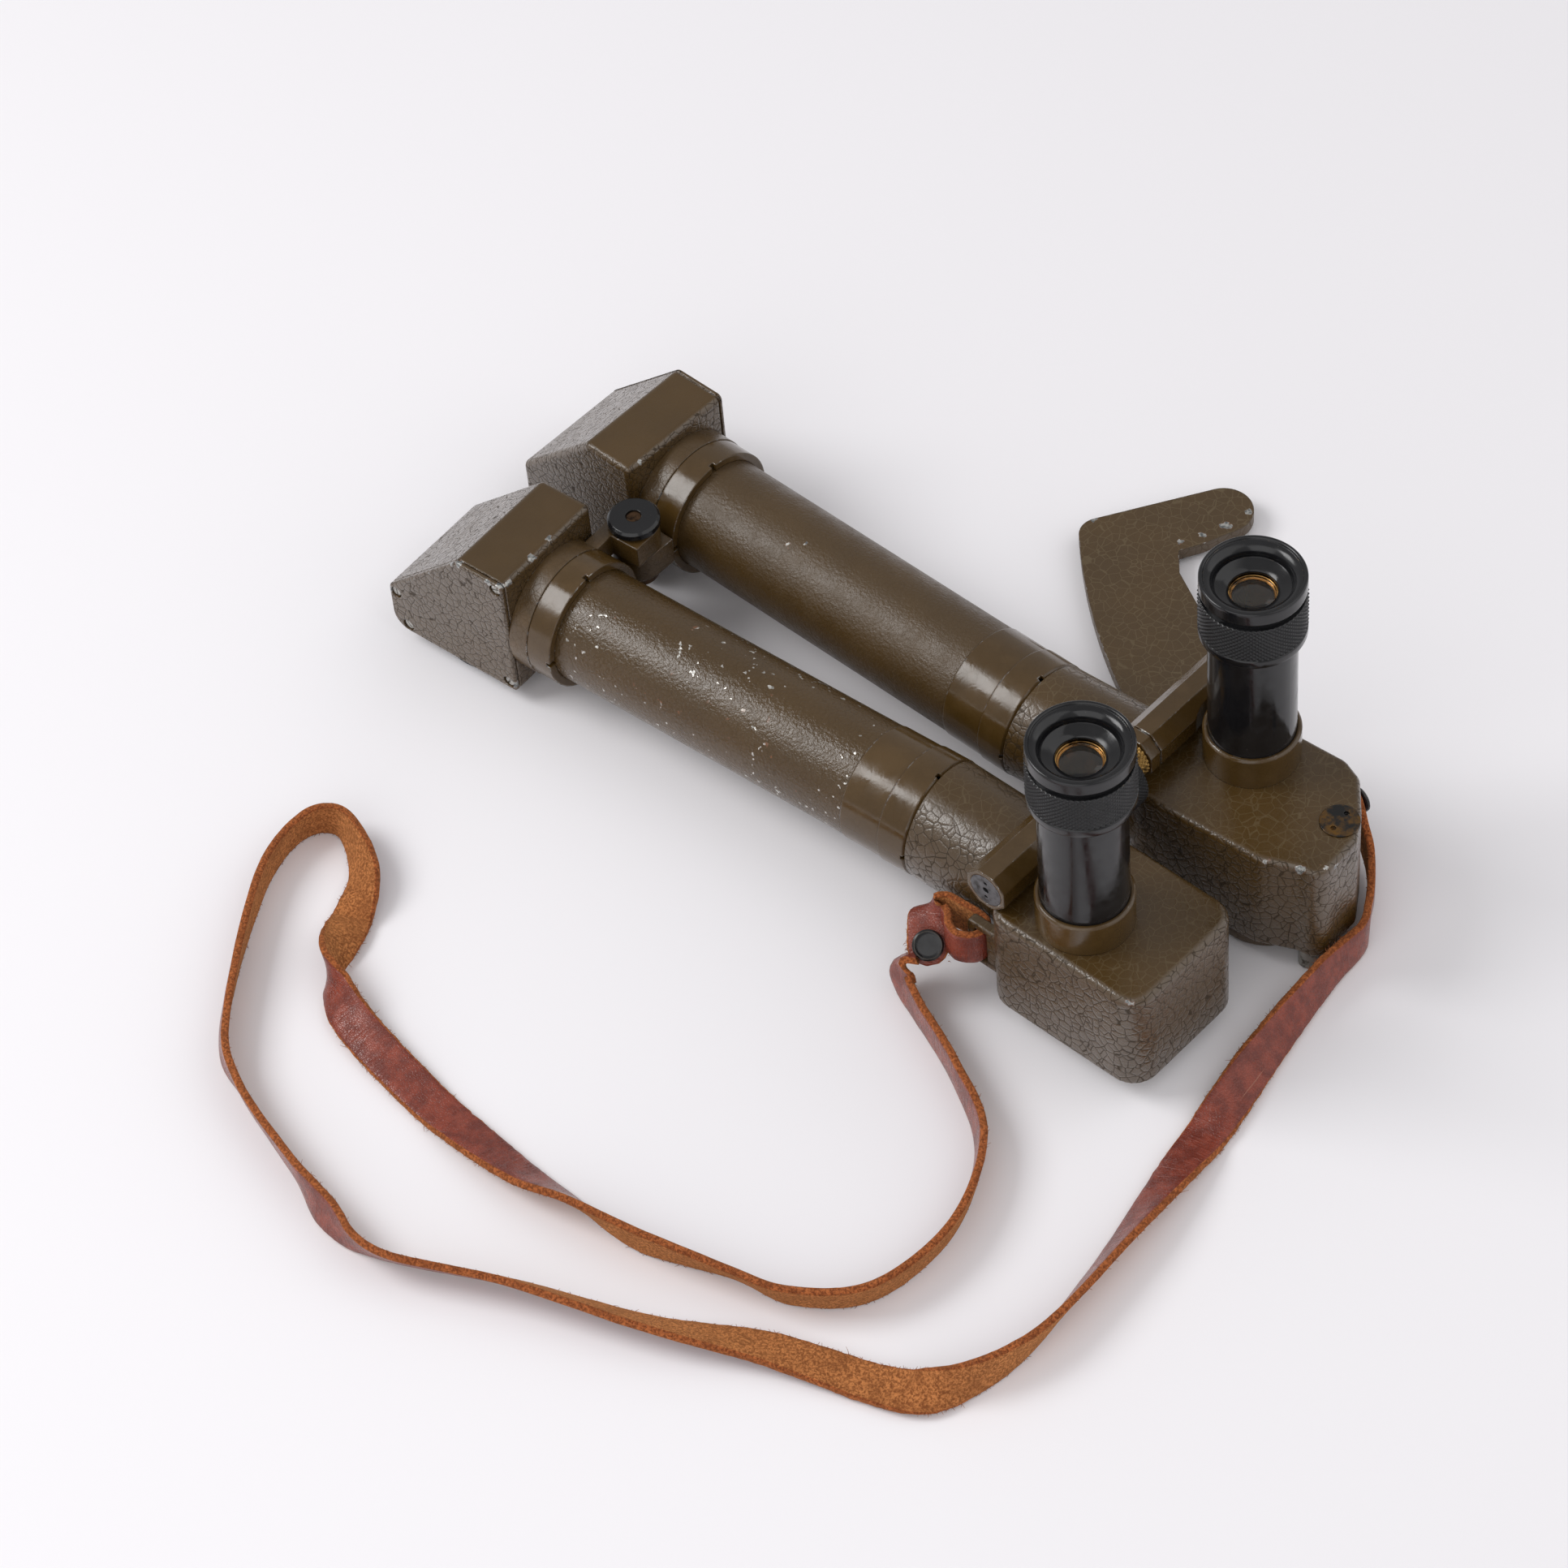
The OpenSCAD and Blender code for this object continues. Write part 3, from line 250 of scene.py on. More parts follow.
def paint(name, cell=390.0, side=1.0, top=0.2, grain=0.3, rough=0.27, chips=0.5,
          flecks=False, dust=0.0, net=0.0, spots=()):
    """Enamel, crackled on its sides and smoother on top, chipped to primer and metal.

    side and top say how much crackle, net how pale the lines on top are.
    """
    mat = Mat(name)
    place = mat.place()
    up = mat.add("SeparateXYZ", Vector=mat.add("TexCoord").outputs["Normal"]).outputs[2]
    much = mat.span(up, 0.80, 0.97, side, top)
    big = mat.noise(place, 35.0)
    normal, bent = mat.rim(EDGE_ROUND)
    edge, small, crack = crackle(mat, place, cell, big, much)
    wear = worn(mat, place, big, bent, chips, flecks, spots)

    colour = mat.mix(mat.span(big, 0.35, 0.65), OLIVE, CLEAN)
    colour = mat.mix(mat.times(crack, 0.78), colour, CRACKED)
    pale = mat.times(mat.span(edge, 0.01, 0.05, net, 0.0), mat.span(up, 0.9, 0.98))
    colour = mat.mix(pale, colour, NET_LINE)
    if dust:
        settled = mat.span(mat.noise(place, 90.0, 5.0, 0.6), 0.42, 0.68, 0.0, dust)
        colour = mat.mix(settled, colour, DUST)
    colour = mat.mix(mat.span(wear, 0.1, 0.3), colour, mat.mix(mat.noise(place, 700.0), PRIMER, RUST))
    bare = FLECK_METAL if flecks else CHIP_METAL
    bare = mat.mix(mat.span(mat.noise(place, 900.0), 0.35, 0.65), *bare)
    colour = mat.mix(mat.span(wear, 0.55, 0.8), colour, bare)

    height = mat.times(mat.span(edge, 0.0, 0.2), mat.times(much, 0.3))
    height = mat.plus(height, mat.times(mat.span(small, 0.0, 0.2), mat.times(much, 0.12)))
    height = mat.plus(height, mat.times(mat.noise(place, 1100.0, 3.0, 0.6), grain))
    depth = 0.0003 * (1.3 if grain > COARSE_GRAIN else 1.0)
    relief = mat.bump(height, 0.6, depth, normal)

    dull = mat.span(mat.noise(place, 220.0), 0.3, 0.7, rough - 0.05, rough + 0.08)
    coat = mat.math("SUBTRACT", much, mat.times(crack, 0.75))
    return mat.out(Base_Color=colour, Metallic=mat.span(wear, 0.55, 0.8, 0.0, 0.6),
                   Roughness=mat.plus(dull, mat.times(crack, 0.3)), Normal=relief, IOR=1.54,
                   Specular_IOR_Level=mat.math("SUBTRACT", 0.5, mat.times(crack, 0.25)),
                   Coat_Weight=mat.math("MULTIPLY", coat, 0.7, clamp=True),
                   Coat_Roughness=0.3, Coat_Normal=relief)


# Chips seen in the photo: x, y, z and radius in mm
LEFT_BLOCK_CHIPS = [
    (223.6, -30.4, 37.6, 1.7), (226.4, -29.8, 37.4, 1.9), (228.0, -27.9, 37.6, 1.2),
    (219.4, -31.1, 37.6, 0.9), (209.0, -30.6, 37.4, 0.8), (228.6, -24.0, 30.5, 0.8),
    (227.0, -29.0, 29.0, 0.9), (226.0, -30.0, 24.4, 0.7)]
RIGHT_BLOCK_CHIPS = [
    (232.3, 26.0, 37.6, 1.5), (229.4, 24.6, 37.6, 0.9), (236.6, 30.2, 37.6, 1.0),
    (224.6, 24.0, 37.8, 0.8), (238.0, 33.4, 36.6, 0.9)]
LEFT_HEAD_CHIPS = [
    (5.6, -16.9, 43.2, 1.1), (3.2, -17.0, 41.6, 0.9), (1.0, -16.9, 39.8, 0.5),
    (18.9, -16.9, 43.2, 1.0), (19.6, -15.2, 42.9, 0.8), (15.6, -17.5, 42.6, 0.8),
    (-6.0, -17.3, 33.2, 0.4), (-12.0, -17.3, 27.6, 0.4), (19.4, -4.7, 43.2, 1.3),
    (19.7, -14.6, 42.4, 1.0), (18.6, 2.4, 43.4, 0.8), (19.3, -17.2, 6.4, 1.1),
    (-21.0, -17.2, 17.8, 0.9)]
RIGHT_HEAD_CHIPS = [(20.6, 37.0, 43.0, 0.7), (22.6, 40.6, 43.2, 0.5)]
RIGHT_TUBE_CHIPS = [(66.0, 40.5, 35.6, 0.9), (70.0, 42.8, 36.8, 0.7)]
HOOK_CHIPS = [
    (136.3, 132.8, 5.4, 1.4), (133.2, 126.6, 5.4, 1.0), (138.2, 140.4, 5.4, 0.9),
    (106.4, 115.0, 5.4, 1.1), (129.8, 121.4, 5.4, 0.9)]

left_block = paint("olive_left_housing", chips=0.45, top=0.12, net=0.28, spots=LEFT_BLOCK_CHIPS)
right_block = paint("olive_right_housing", chips=0.55, top=0.12, net=0.3, dust=0.05,
                    spots=RIGHT_BLOCK_CHIPS)
left_head = paint("olive_left_head", cell=470.0, rough=0.24, top=0.04, chips=0.62,
                  spots=LEFT_HEAD_CHIPS)
right_head = paint("olive_right_head", cell=470.0, rough=0.24, top=0.04, chips=0.5,
                   spots=RIGHT_HEAD_CHIPS)
collar_paint = paint("olive_collar", cell=620.0, side=0.35, rough=0.32, chips=0.6, grain=0.2,
                     dust=0.25)
left_barrel = paint("olive_left_tube", cell=620.0, side=0.26, top=0.2, grain=0.95, rough=0.2,
                    chips=0.5, flecks=True)
right_barrel = paint("olive_right_tube", cell=620.0, side=0.16, top=0.12, grain=0.95, rough=0.4,
                     chips=0.5, spots=RIGHT_TUBE_CHIPS)
gloss = paint("olive_gloss", rough=0.14, side=0.08, top=0.05, chips=0.62, grain=0.06, dust=0.12)
hook_paint = paint("olive_hook", rough=0.42, side=0.3, top=0.1, chips=0.6, grain=0.2, net=0.3,
                   spots=HOOK_CHIPS)


# Black enamel
def enamel(name, rough=0.2, wear=0.4):
    """Black enamel, worn to brown on its edges; more wear shows more of it."""
    mat = Mat(name)
    place = mat.place()
    normal, bent = mat.rim(FINE_ROUND)
    ragged = mat.span(mat.noise(place, 500.0, 4.0, 0.65), 0.70 - wear * 0.3, 0.76 - wear * 0.3)
    rubbed = mat.math("MULTIPLY", mat.span(bent, 0.03, 0.14), ragged, clamp=True)
    fleck = mat.span(mat.noise(place, 1300.0, 2.0), 0.75, 0.78)
    colour = mat.mix(mat.span(mat.noise(place, 60.0), 0.4, 0.7), srgb(17, 17, 19), srgb(25, 25, 27))
    colour = mat.mix(mat.times(fleck, 0.3), colour, srgb(92, 88, 82))
    colour = mat.mix(rubbed, colour, srgb(96, 86, 74))
    dull = mat.span(mat.noise(place, 260.0), 0.3, 0.7, rough - 0.06, rough + 0.1)
    relief = mat.bump(mat.noise(place, 1800.0, 2.0), 0.10, 0.00006, normal)
    return mat.out(Base_Color=colour, Roughness=dull, Normal=relief, Metallic=mat.times(rubbed, 0.5))


black = enamel("black_enamel", 0.15)
black_matt = enamel("black_knurl", 0.36, -1.0)
black_snap = enamel("black_snap", 0.18, 1.2)


# Bare metals
def metal(name, colour, stain, rough=0.3, scale=400.0, dirt=0.5, black=0.0):
    """Metal with stains; dirt spreads them and black takes the metal's shine from them."""
    mat = Mat(name)
    place = mat.place()
    normal, _ = mat.rim(FINE_ROUND)
    mark = mat.span(mat.noise(place, scale, 4.0, 0.6), 0.62 - dirt * 0.3, 0.78 - dirt * 0.2)
    dull = mat.span(mat.noise(place, scale * 0.6), 0.3, 0.7, rough - 0.08, rough + 0.14)
    relief = mat.bump(mat.noise(place, 2500.0, 2.0), 0.12, 0.00005, normal)
    return mat.out(Base_Color=mat.mix(mark, colour, stain), Roughness=dull, Normal=relief,
                   Metallic=mat.math("SUBTRACT", 1.0, mat.times(mark, black)))


steel = metal("bare_steel", srgb(190, 188, 182), srgb(96, 88, 76), 0.28)
dull_steel = metal("grey_steel", srgb(150, 147, 140), srgb(70, 64, 54), 0.36)
grey_cap = metal("grey_cap", srgb(112, 112, 114), srgb(66, 64, 62), 0.42)
brown_steel = metal("browned_steel", srgb(92, 70, 52), srgb(44, 36, 30), 0.34)
brass = metal("tarnished_brass", srgb(178, 142, 84), srgb(84, 66, 38), 0.34)
bronze = metal("bronze_bore", srgb(206, 160, 96), srgb(64, 44, 28), 0.2, scale=160.0)
stained = metal("stained_brass", srgb(134, 98, 50), srgb(16, 15, 15), 0.26,
                scale=210.0, dirt=1.18, black=0.9)


# Plain materials
def plain(name, colour, **inputs):
    return Mat(name).out(Base_Color=srgb(*colour), **inputs)


lens_glass = plain("coated_glass", (238, 226, 206), Roughness=0.01, Transmission_Weight=1.0, IOR=1.52)
prism_glass = plain("prism_glass", (196, 206, 208), Roughness=0.05, Transmission_Weight=0.6)
fibre = plain("leather_fibre", (150, 88, 48), Roughness=0.8)
floor_look = plain("pale_floor", (243, 241, 244), Roughness=0.7, Specular_IOR_Level=0.1)


# Leather
def leather_grain():
    """The smooth side: blotched red brown, with pores, long creases and fine wrinkles across."""
    mat = Mat("leather_grain")
    along = mat.add("Attribute", {"attribute_name": "along"}).outputs["Vector"]
    place = mat.place()
    blot = mat.span(mat.noise(place, 260.0, 4.0, 0.6), 0.35, 0.68)
    pores = mat.span(mat.cells(mat.warp(place, 900.0, 0.0006), 1700.0), 0.0, 0.16, 1.0, 0.0)
    lengthwise = mat.stretched(along, (14.0, 420.0, 1.0))
    crease = mat.span(mat.noise(lengthwise, 1.0, 4.0, 0.65), 0.66, 0.70)
    crosswise = mat.stretched(along, (900.0, 90.0, 1.0))
    wrinkle = mat.span(mat.noise(crosswise, 1.0, 3.0, 0.6), 0.48, 0.72)
    colour = mat.mix(blot, srgb(110, 46, 33), srgb(144, 66, 48))
    colour = mat.mix(mat.times(pores, 0.3), colour, srgb(92, 38, 28))
    colour = mat.mix(mat.times(crease, 0.65), colour, srgb(186, 132, 112))
    height = mat.math("SUBTRACT", mat.times(pores, -0.6), mat.times(crease, 1.2))
    height = mat.plus(height, mat.times(wrinkle, 1.6))
    dull = mat.span(mat.noise(place, 300.0), 0.3, 0.7, 0.2, 0.32)
    return mat.out(Base_Color=colour, Roughness=dull, Normal=mat.bump(height, 0.5, 0.0002), IOR=1.5)


def suede(name, low, high):
    """The rough side and the cut edges: fibrous, from low to high in colour."""
    mat = Mat(name)
    place = mat.place()
    nap = mat.noise(mat.warp(place, 900.0, 0.0009), 1500.0, 4.0, 0.7)
    colour = mat.mix(mat.span(nap, 0.40, 0.62), srgb(*low), srgb(*high))
    colour = mat.mix(mat.span(mat.noise(place, 180.0), 0.45, 0.7, 0.0, 0.45), colour, srgb(*low))
    return mat.out(Base_Color=colour, Roughness=0.92, Normal=mat.bump(nap, 0.9, 0.0006),
                   Sheen_Weight=0.4, Sheen_Roughness=0.6, Sheen_Tint=srgb(226, 170, 110),
                   Specular_IOR_Level=0.15)


grain_side = leather_grain()
flesh_side = suede("leather_suede", (128, 72, 38), (202, 130, 76))
cut_edge = suede("leather_cut_edge", (112, 54, 28), (184, 104, 58))


# Meshes. Sizes are in mm, and at is a matrix that puts the shape in its place.
def piece(name, verts, faces, mats, slots=None):
    mesh = bpy.data.meshes.new(name)
    mesh.from_pydata([tuple(v) for v in verts], [], faces)
    shape = bpy.data.objects.new(name, mesh)
    bpy.context.scene.collection.objects.link(shape)
    for mat in mats:
        mesh.materials.append(mat)
    if slots:
        mesh.polygons.foreach_set("material_index", slots)
    mesh.polygons.foreach_set("use_smooth", [True] * len(mesh.polygons))
    mesh.update()
    return shape


def mirrored(at):
    return at.to_3x3().determinant() < 0


def sharp(shape, angle):
    shape.data.set_sharp_from_angle(angle=math.radians(angle))


def weld(shape):
    mesh = bmesh.new()
    mesh.from_mesh(shape.data)
    bmesh.ops.remove_doubles(mesh, verts=mesh.verts, dist=1e-7)
    bmesh.ops.dissolve_degenerate(mesh, edges=mesh.edges, dist=1e-8)
    bmesh.ops.recalc_face_normals(mesh, faces=mesh.faces)
    mesh.to_mesh(shape.data)
    mesh.free()


def skinned(name, loops, at, mats, slots=None):
    """A skin over closed loops of (radius, height), spread evenly round at's Z."""
    count, n = len(loops), len(loops[0])
    verts, faces, used = [], [], []
    for k, loop in enumerate(loops):
        a = 2 * math.pi * k / count
        verts += [(at @ Vector((r * math.cos(a), r * math.sin(a), z))) * MM for r, z in loop]
    flip = mirrored(at)
    for k in range(count):
        here, there = k * n, (k + 1) % count * n
        for i in range(n):
            j = (i + 1) % n
            if max(loops[k][i][0], loops[k][j][0]) < 1e-6:
                continue
            corners = (here + i, there + i, there + j, here + j)
            faces.append((corners[0],) + corners[:0:-1] if flip else corners)
            used.append(slots[i] if slots else 0)
    return piece(name, verts, faces, mats, used)


def turned(name, loop, at, mats, body=None, seg=128, angle=30):
    """A turned ring or screw."""
    shape = skinned(name, [loop] * seg, at, mats)
    weld(shape)
    sharp(shape, angle)
    if body:
        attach(shape, body)
    return shape


KNURL_STEPS = 8
KNURL_EDGE = 0.25
KNURL_CHAMFER = 0.45


def knurled(name, at, radius, low, high, teeth, rows, deep, bore, mats, body, soft=0.35):
    """A ring with a diamond knurl from low to high, flat-topped by soft, and a plain bore."""
    count = rows * KNURL_STEPS
    knurl = high - low - 2 * KNURL_EDGE
    heights = [low + KNURL_EDGE + knurl * j / count for j in range(count + 1)]
    tall = heights[-1] - heights[0]
    loops = []
    for k in range(teeth * KNURL_STEPS):
        a = 2 * math.pi * k / (teeth * KNURL_STEPS)
        u = teeth * a / (2 * math.pi)
        loop = [(bore, low), (radius - KNURL_CHAMFER, low)]
        for z in heights:
            v = rows * (z - heights[0]) / tall
            groove = max(abs((u + v) % 1 - 0.5), abs((u - v) % 1 - 0.5)) * 2
            loop.append((radius - deep * max(0.0, (groove - soft) / (1 - soft)), z))
        loops.append(loop + [(radius - KNURL_CHAMFER, high), (bore, high)])
    n = len(loops[0])
    shape = skinned(name, loops, at, mats, [1 if i < 2 or i > n - 4 else 0 for i in range(n)])
    sharp(shape, 28)
    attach(shape, body)
    return shape


def rounded(pts, radii, inset, seg, hold=0.4):
    """A closed outline with rounded corners, moved inwards by inset."""
    out = []
    n = len(pts)
    ways = [(Vector(pts[(i + 1) % n]) - Vector(pts[i])).normalized() for i in range(n)]
    for i in range(n):
        before, after = ways[i - 1], ways[i]
        in_before, in_after = Vector((-before.y, before.x)), Vector((-after.y, after.x))
        corner = Vector(pts[i]) + (in_before + in_after) * (inset / (1 + in_before.dot(in_after)))
        cross = before.x * after.y - before.y * after.x
        bend = math.atan2(cross, before.dot(after))
        sign = 1 if cross >= 0 else -1
        r = max(radii[i] - sign * inset, 0.02)
        reach = r * math.tan(abs(bend) / 2)
        centre = corner - before * reach + in_before * (r * sign)
        out.append(corner - before * (reach + hold))
        for k in range(seg + 1):
            out.append(centre + Matrix.Rotation(bend * k / seg, 2) @ (in_before * (-sign * r)))
        out.append(corner + after * (reach + hold))
    return out


def steps(low, high, r_low, r_high, count=6, hold=0.4):
    """Heights and insets of a block whose edges are rounded by r_low and r_high."""
    turns = [math.pi / 2 * j / count for j in range(count + 1)]
    foot = [(low + r_low * (1 - math.cos(a)), r_low * (1 - math.sin(a))) for a in turns]
    head = [(high - r_high * (1 - math.sin(a)), r_high * (1 - math.cos(a))) for a in turns]
    return ((foot if r_low else [(low, 0)]) + [(low + r_low + hold, 0), (high - r_high - hold, 0)]
            + (head if r_high else [(high, 0)]))


def stacked(name, rings, at, mats=()):
    """A closed solid over rings of (x, y, z) with equal numbers of points."""
    n, count = len(rings[0]), len(rings)
    verts = [(at @ Vector(v)) * MM for ring in rings for v in ring]
    faces = [(j * n + k, j * n + (k + 1) % n, (j + 1) * n + (k + 1) % n, (j + 1) * n + k)
             for j in range(count - 1) for k in range(n)]
    faces += [tuple(reversed(range(n))), tuple(range((count - 1) * n, count * n))]
    if mirrored(at):
        faces = [tuple(reversed(f)) for f in faces]
    return piece(name, verts, faces, mats)


def loft(name, pts, radii, levels, at, mats=(), seg=8):
    rings = [[(place.x, place.y, height) for place in rounded(pts, radii, inset, seg)]
             for height, inset in levels]
    return stacked(name, rings, at, mats)


def prism(pts, low, high, at):
    return stacked("prism", [[(x, y, z) for x, y in pts] for z in (low, high)], at)


def rod(r, low, high, at, seg=96):
    angles = [2 * math.pi * k / seg for k in range(seg)]
    return prism([(r * math.cos(a), r * math.sin(a)) for a in angles], low, high, at)


def box(low, high, at):
    corners = [(low[0], low[1]), (high[0], low[1]), (high[0], high[1]), (low[0], high[1])]
    return prism(corners, low[2], high[2], at)


def carve(shape, adds=(), cuts=()):
    """Joins solids to a shape and cuts others out of it, and evens its shading."""
    for kind, group in (("UNION", adds), ("DIFFERENCE", cuts)):
        for other in group:
            step = shape.modifiers.new("cut", "BOOLEAN")
            step.operation = kind
            step.solver = "EXACT"
            step.object = other
    bpy.context.view_layer.update()
    graph = bpy.context.evaluated_depsgraph_get()
    mesh = bpy.data.meshes.new_from_object(shape.evaluated_get(graph))
    shape.modifiers.clear()
    shape.data = mesh
    for other in list(adds) + list(cuts):
        bpy.data.objects.remove(other)
    sharp(shape, 30)
    even = shape.modifiers.new("even", "WEIGHTED_NORMAL")
    even.keep_sharp = True


def stand_in(shape, node, body):
    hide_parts(node)
    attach(shape, body)


def dress(node, look):
    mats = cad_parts[node].data.materials
    mats.clear()
    mats.append(look)


# Strap: x, y, z of its middle in mm, as in the CAD, and its lean in degrees. On the floor
# z is 0, and the spline lifts it by half the strap's height there.
STRAP_W, STRAP_T = 10.5, 2.0
HALF_W, HALF_T = STRAP_W / 2, STRAP_T / 2
LIFT = 0.2
ROUTE = [
    (160.5, -31, 12.5, 60), (158.2, -35, 9.5, 18), (166.5, -40.2, 0, 0),
    (186, -50.4, 0, 0), (204, -64, 0, 10), (213, -88, 0, 14), (209, -112.5, 0, 16),
    (194, -124.8, 0, 18), (178, -127.8, 0, 25), (155, -133.3, 0, 10),
    (136, -133.7, 0, 30), (118, -133.8, 0, 60), (88, -129.7, 0, 90),
    (58, -123.2, 0, 112), (47, -118.4, 0, 141), (41.6, -114.6, 0, 180),
    (38, -109, 0, 222), (33.8, -99, 0, 264), (27.5, -86, 0, 314), (12.5, -77.6, 0, 352),
    (5.2, -85, 0, 368), (9.5, -105.5, 0, 366), (32, -143, 0, 374), (48.5, -155, 0, 352),
    (74, -164.8, 0, 354), (91, -170.8, 0, 376), (108, -172, 0, 335),
    (138, -160.3, 0, 327), (172, -149.8, 0, 313), (199, -137.8, 0, 284),
    (226, -130.2, 0, 264), (235, -127, 0, 234), (241, -120.6, 0, 198),
    (246.2, -108, 0, 174), (248, -93, 0, 158), (247.2, -66, 0, 141),
    (244.6, -34, 0, 98), (242.4, 0, 0, 41), (241.6, 25.6, 0, 15)]
LEFT_LOOP = [
    (164.2, -32.4, 11.5, 90), (161.6, -28.2, 15.6, 90), (158.8, -24, 19.4, 110),
    (158.4, -21.4, 20.2, 155), (161.6, -20.2, 20.2, 180), (166.5, -20, 20.2, 180),
    (171, -20.1, 20.2, 180), (174.4, -21, 20.2, 180), (175.5, -23.6, 20.2, 180),
    (174.4, -26.6, 20.2, 180), (171, -28.4, 20.2, 180), (167.4, -27.2, 20.2, 180),
    (165.2, -24.6, 20.2, 180), (163.2, -23.4, 20.2, 180)]
# In the right housing's own frame. The first two places lie beside the route's end.
RIGHT_LOOP = [
    (42.4, 20.7, 5.6, -12), (42.2, 16.2, 5.6, -9), (40.1, 10.2, 5.6, -2),
    (37.1, 3.7, 5.7, 5), (33.4, -3.5, 6.2, 0), (28.4, -10.2, 7.2, 0),
    (23.1, -14.7, 9.4, 0), (18.5, -17.6, 13, 0), (15, -18.4, 14.8, 0),
    (12.4, -18.4, 15, 0), (10.5, -17.3, 15, 0), (10.2, -15.3, 15, 0),
    (11.3, -13.7, 15, 0), (13.5, -13.2, 15, 0), (16.2, -13.4, 14.8, 0),
    (18.8, -14.6, 13.6, 0), (20.4, -14.4, 12.4, 0)]
RIGHT_LOOP_FROM = 2
GRAIN_SLOT, CUT_SLOT, FLESH_SLOT, FIBRE_SLOT = range(4)
FIBRE_R, FIBRES_PER_MM = 0.09, 3.2


def spline(pts, step):
    """Evenly spaced places of a smooth curve through pts, all four values, above the floor."""
    dense = []
    for i in range(len(pts) - 1):
        a, b = Vector(pts[max(i - 1, 0)]), Vector(pts[i])
        c, d = Vector(pts[i + 1]), Vector(pts[min(i + 2, len(pts) - 1)])
        for k in range(24):
            t = k / 24
            dense.append(0.5 * (2 * b + (c - a) * t + (2 * a - 5 * b + 4 * c - d) * t * t
                                + (3 * b - 3 * c + d - a) * t ** 3))
    dense.append(Vector(pts[-1]))
    for place in dense:
        lean = math.radians(place[3])
        half = HALF_W * abs(math.cos(lean)) + HALF_T * abs(math.sin(lean))
        place[2] = max(place[2], half + LIFT)
    lengths = [0.0]
    for a, b in zip(dense, dense[1:]):
        lengths.append(lengths[-1] + (b.xyz - a.xyz).length)
    count = max(2, round(lengths[-1] / step))
    out, j = [], 0
    for k in range(count + 1):
        wanted = lengths[-1] * k / count
        while j < len(lengths) - 2 and lengths[j + 1] < wanted:
            j += 1
        share = (wanted - lengths[j]) / max(lengths[j + 1] - lengths[j], 1e-9)
        out.append(dense[j].lerp(dense[j + 1], min(max(share, 0), 1)))
    return out


def length(line):
    return sum((b.xyz - a.xyz).length for a, b in zip(line, line[1:]))


def strap_section():
    """The strap's outline as (across, deep, slot): the smooth side is a little domed."""
    across = [-1 + 2 * k / 8 for k in range(9)]
    smooth = [(u * (HALF_W - 0.45), HALF_T - 0.10 * u ** 4, GRAIN_SLOT) for u in across]
    rough = [(-u * (HALF_W - 0.5), -HALF_T, FLESH_SLOT) for u in across]
    edge = [(HALF_W - 0.12, HALF_T - 0.4), (HALF_W, 0.1), (HALF_W, -0.5),
            (HALF_W - 0.15, -HALF_T + 0.1)]
    right = [(u, v, CUT_SLOT) for u, v in edge]
    left = [(-u, v, CUT_SLOT) for u, v in reversed(edge)]
    return smooth + right + rough + left


def strap_frames(line):
    """For each place: its centre, the way on, the ways of width and depth, and how far it is."""
    frames, far = [], 0.0
    for i, point in enumerate(line):
        before, after = line[max(i - 1, 0)].xyz, line[min(i + 1, len(line) - 1)].xyz
        way = (after - before).normalized()
        lean = math.radians(point[3])
        side = Vector((-way.y, way.x, 0)).normalized()
        across = math.cos(lean) * Vector((0, 0, 1)) + math.sin(lean) * side
        wide = (across - across.dot(way) * way).normalized()
        if i:
            far += (point.xyz - line[i - 1].xyz).length
        frames.append((point.xyz, way, wide, way.cross(wide), far))
    return frames


def wave(x, y, z):
    return noise.noise(Vector((x, y, z)))


def narrowed(far, total, round_end):
    """The share of the width that is left this far along, where an end is rounded."""
    share = 1.0
    for on, gone in zip(round_end, (far, total - far)):
        if on and gone < HALF_W:
            arc = math.sqrt(max(0.0, 1 - ((HALF_W - gone) / HALF_W) ** 2))
            share = min(share, arc * 0.94 + 0.06)
    return share


def fibre_rings(root, way, bend, size):
    """Four rings of three corners along a fibre that thins and bends."""
    corners = []
    for j in range(4):
        share = j / 3
        centre = root + way * size * share + bend * size * share * share * 0.5
        centre.z = max(centre.z, 0.1)
        r = FIBRE_R * (1 - 0.6 * share)
        across = way.cross(Vector((0.3, 0.2, 1))).normalized()
        upright = way.cross(across).normalized()
        for k in range(3):
            a = 2 * math.pi * k / 3
            corners.append((centre + (across * math.cos(a) + upright * math.sin(a)) * r) * MM)
    return corners


def loose_fibres(frames, count, seed):
    """Fibres along the cut edges, each as its corners and how far along the strap it is."""
    rnd = random.Random(seed)
    fibres = []
    for _ in range(count):
        centre, way, wide, deep, far = frames[rnd.randrange(2, len(frames) - 2)]
        side = rnd.choice((-1, 1))
        root = centre + wide * (side * (HALF_W - 0.25)) - deep * rnd.uniform(0.1, HALF_T - 0.05)
        out = (wide * side * rnd.uniform(0.4, 1.0) - deep * rnd.uniform(-0.1, 0.7)
               + way * rnd.uniform(-1.2, 1.2)).normalized()
        bend = (way * rnd.uniform(-1, 1) + deep * rnd.uniform(-1, 1)) * 0.6
        size = rnd.uniform(0.35, 1.05) * (1.9 if rnd.random() < 0.05 else 1.0)
        fibres.append((fibre_rings(root, out, bend, size), far))
    return fibres


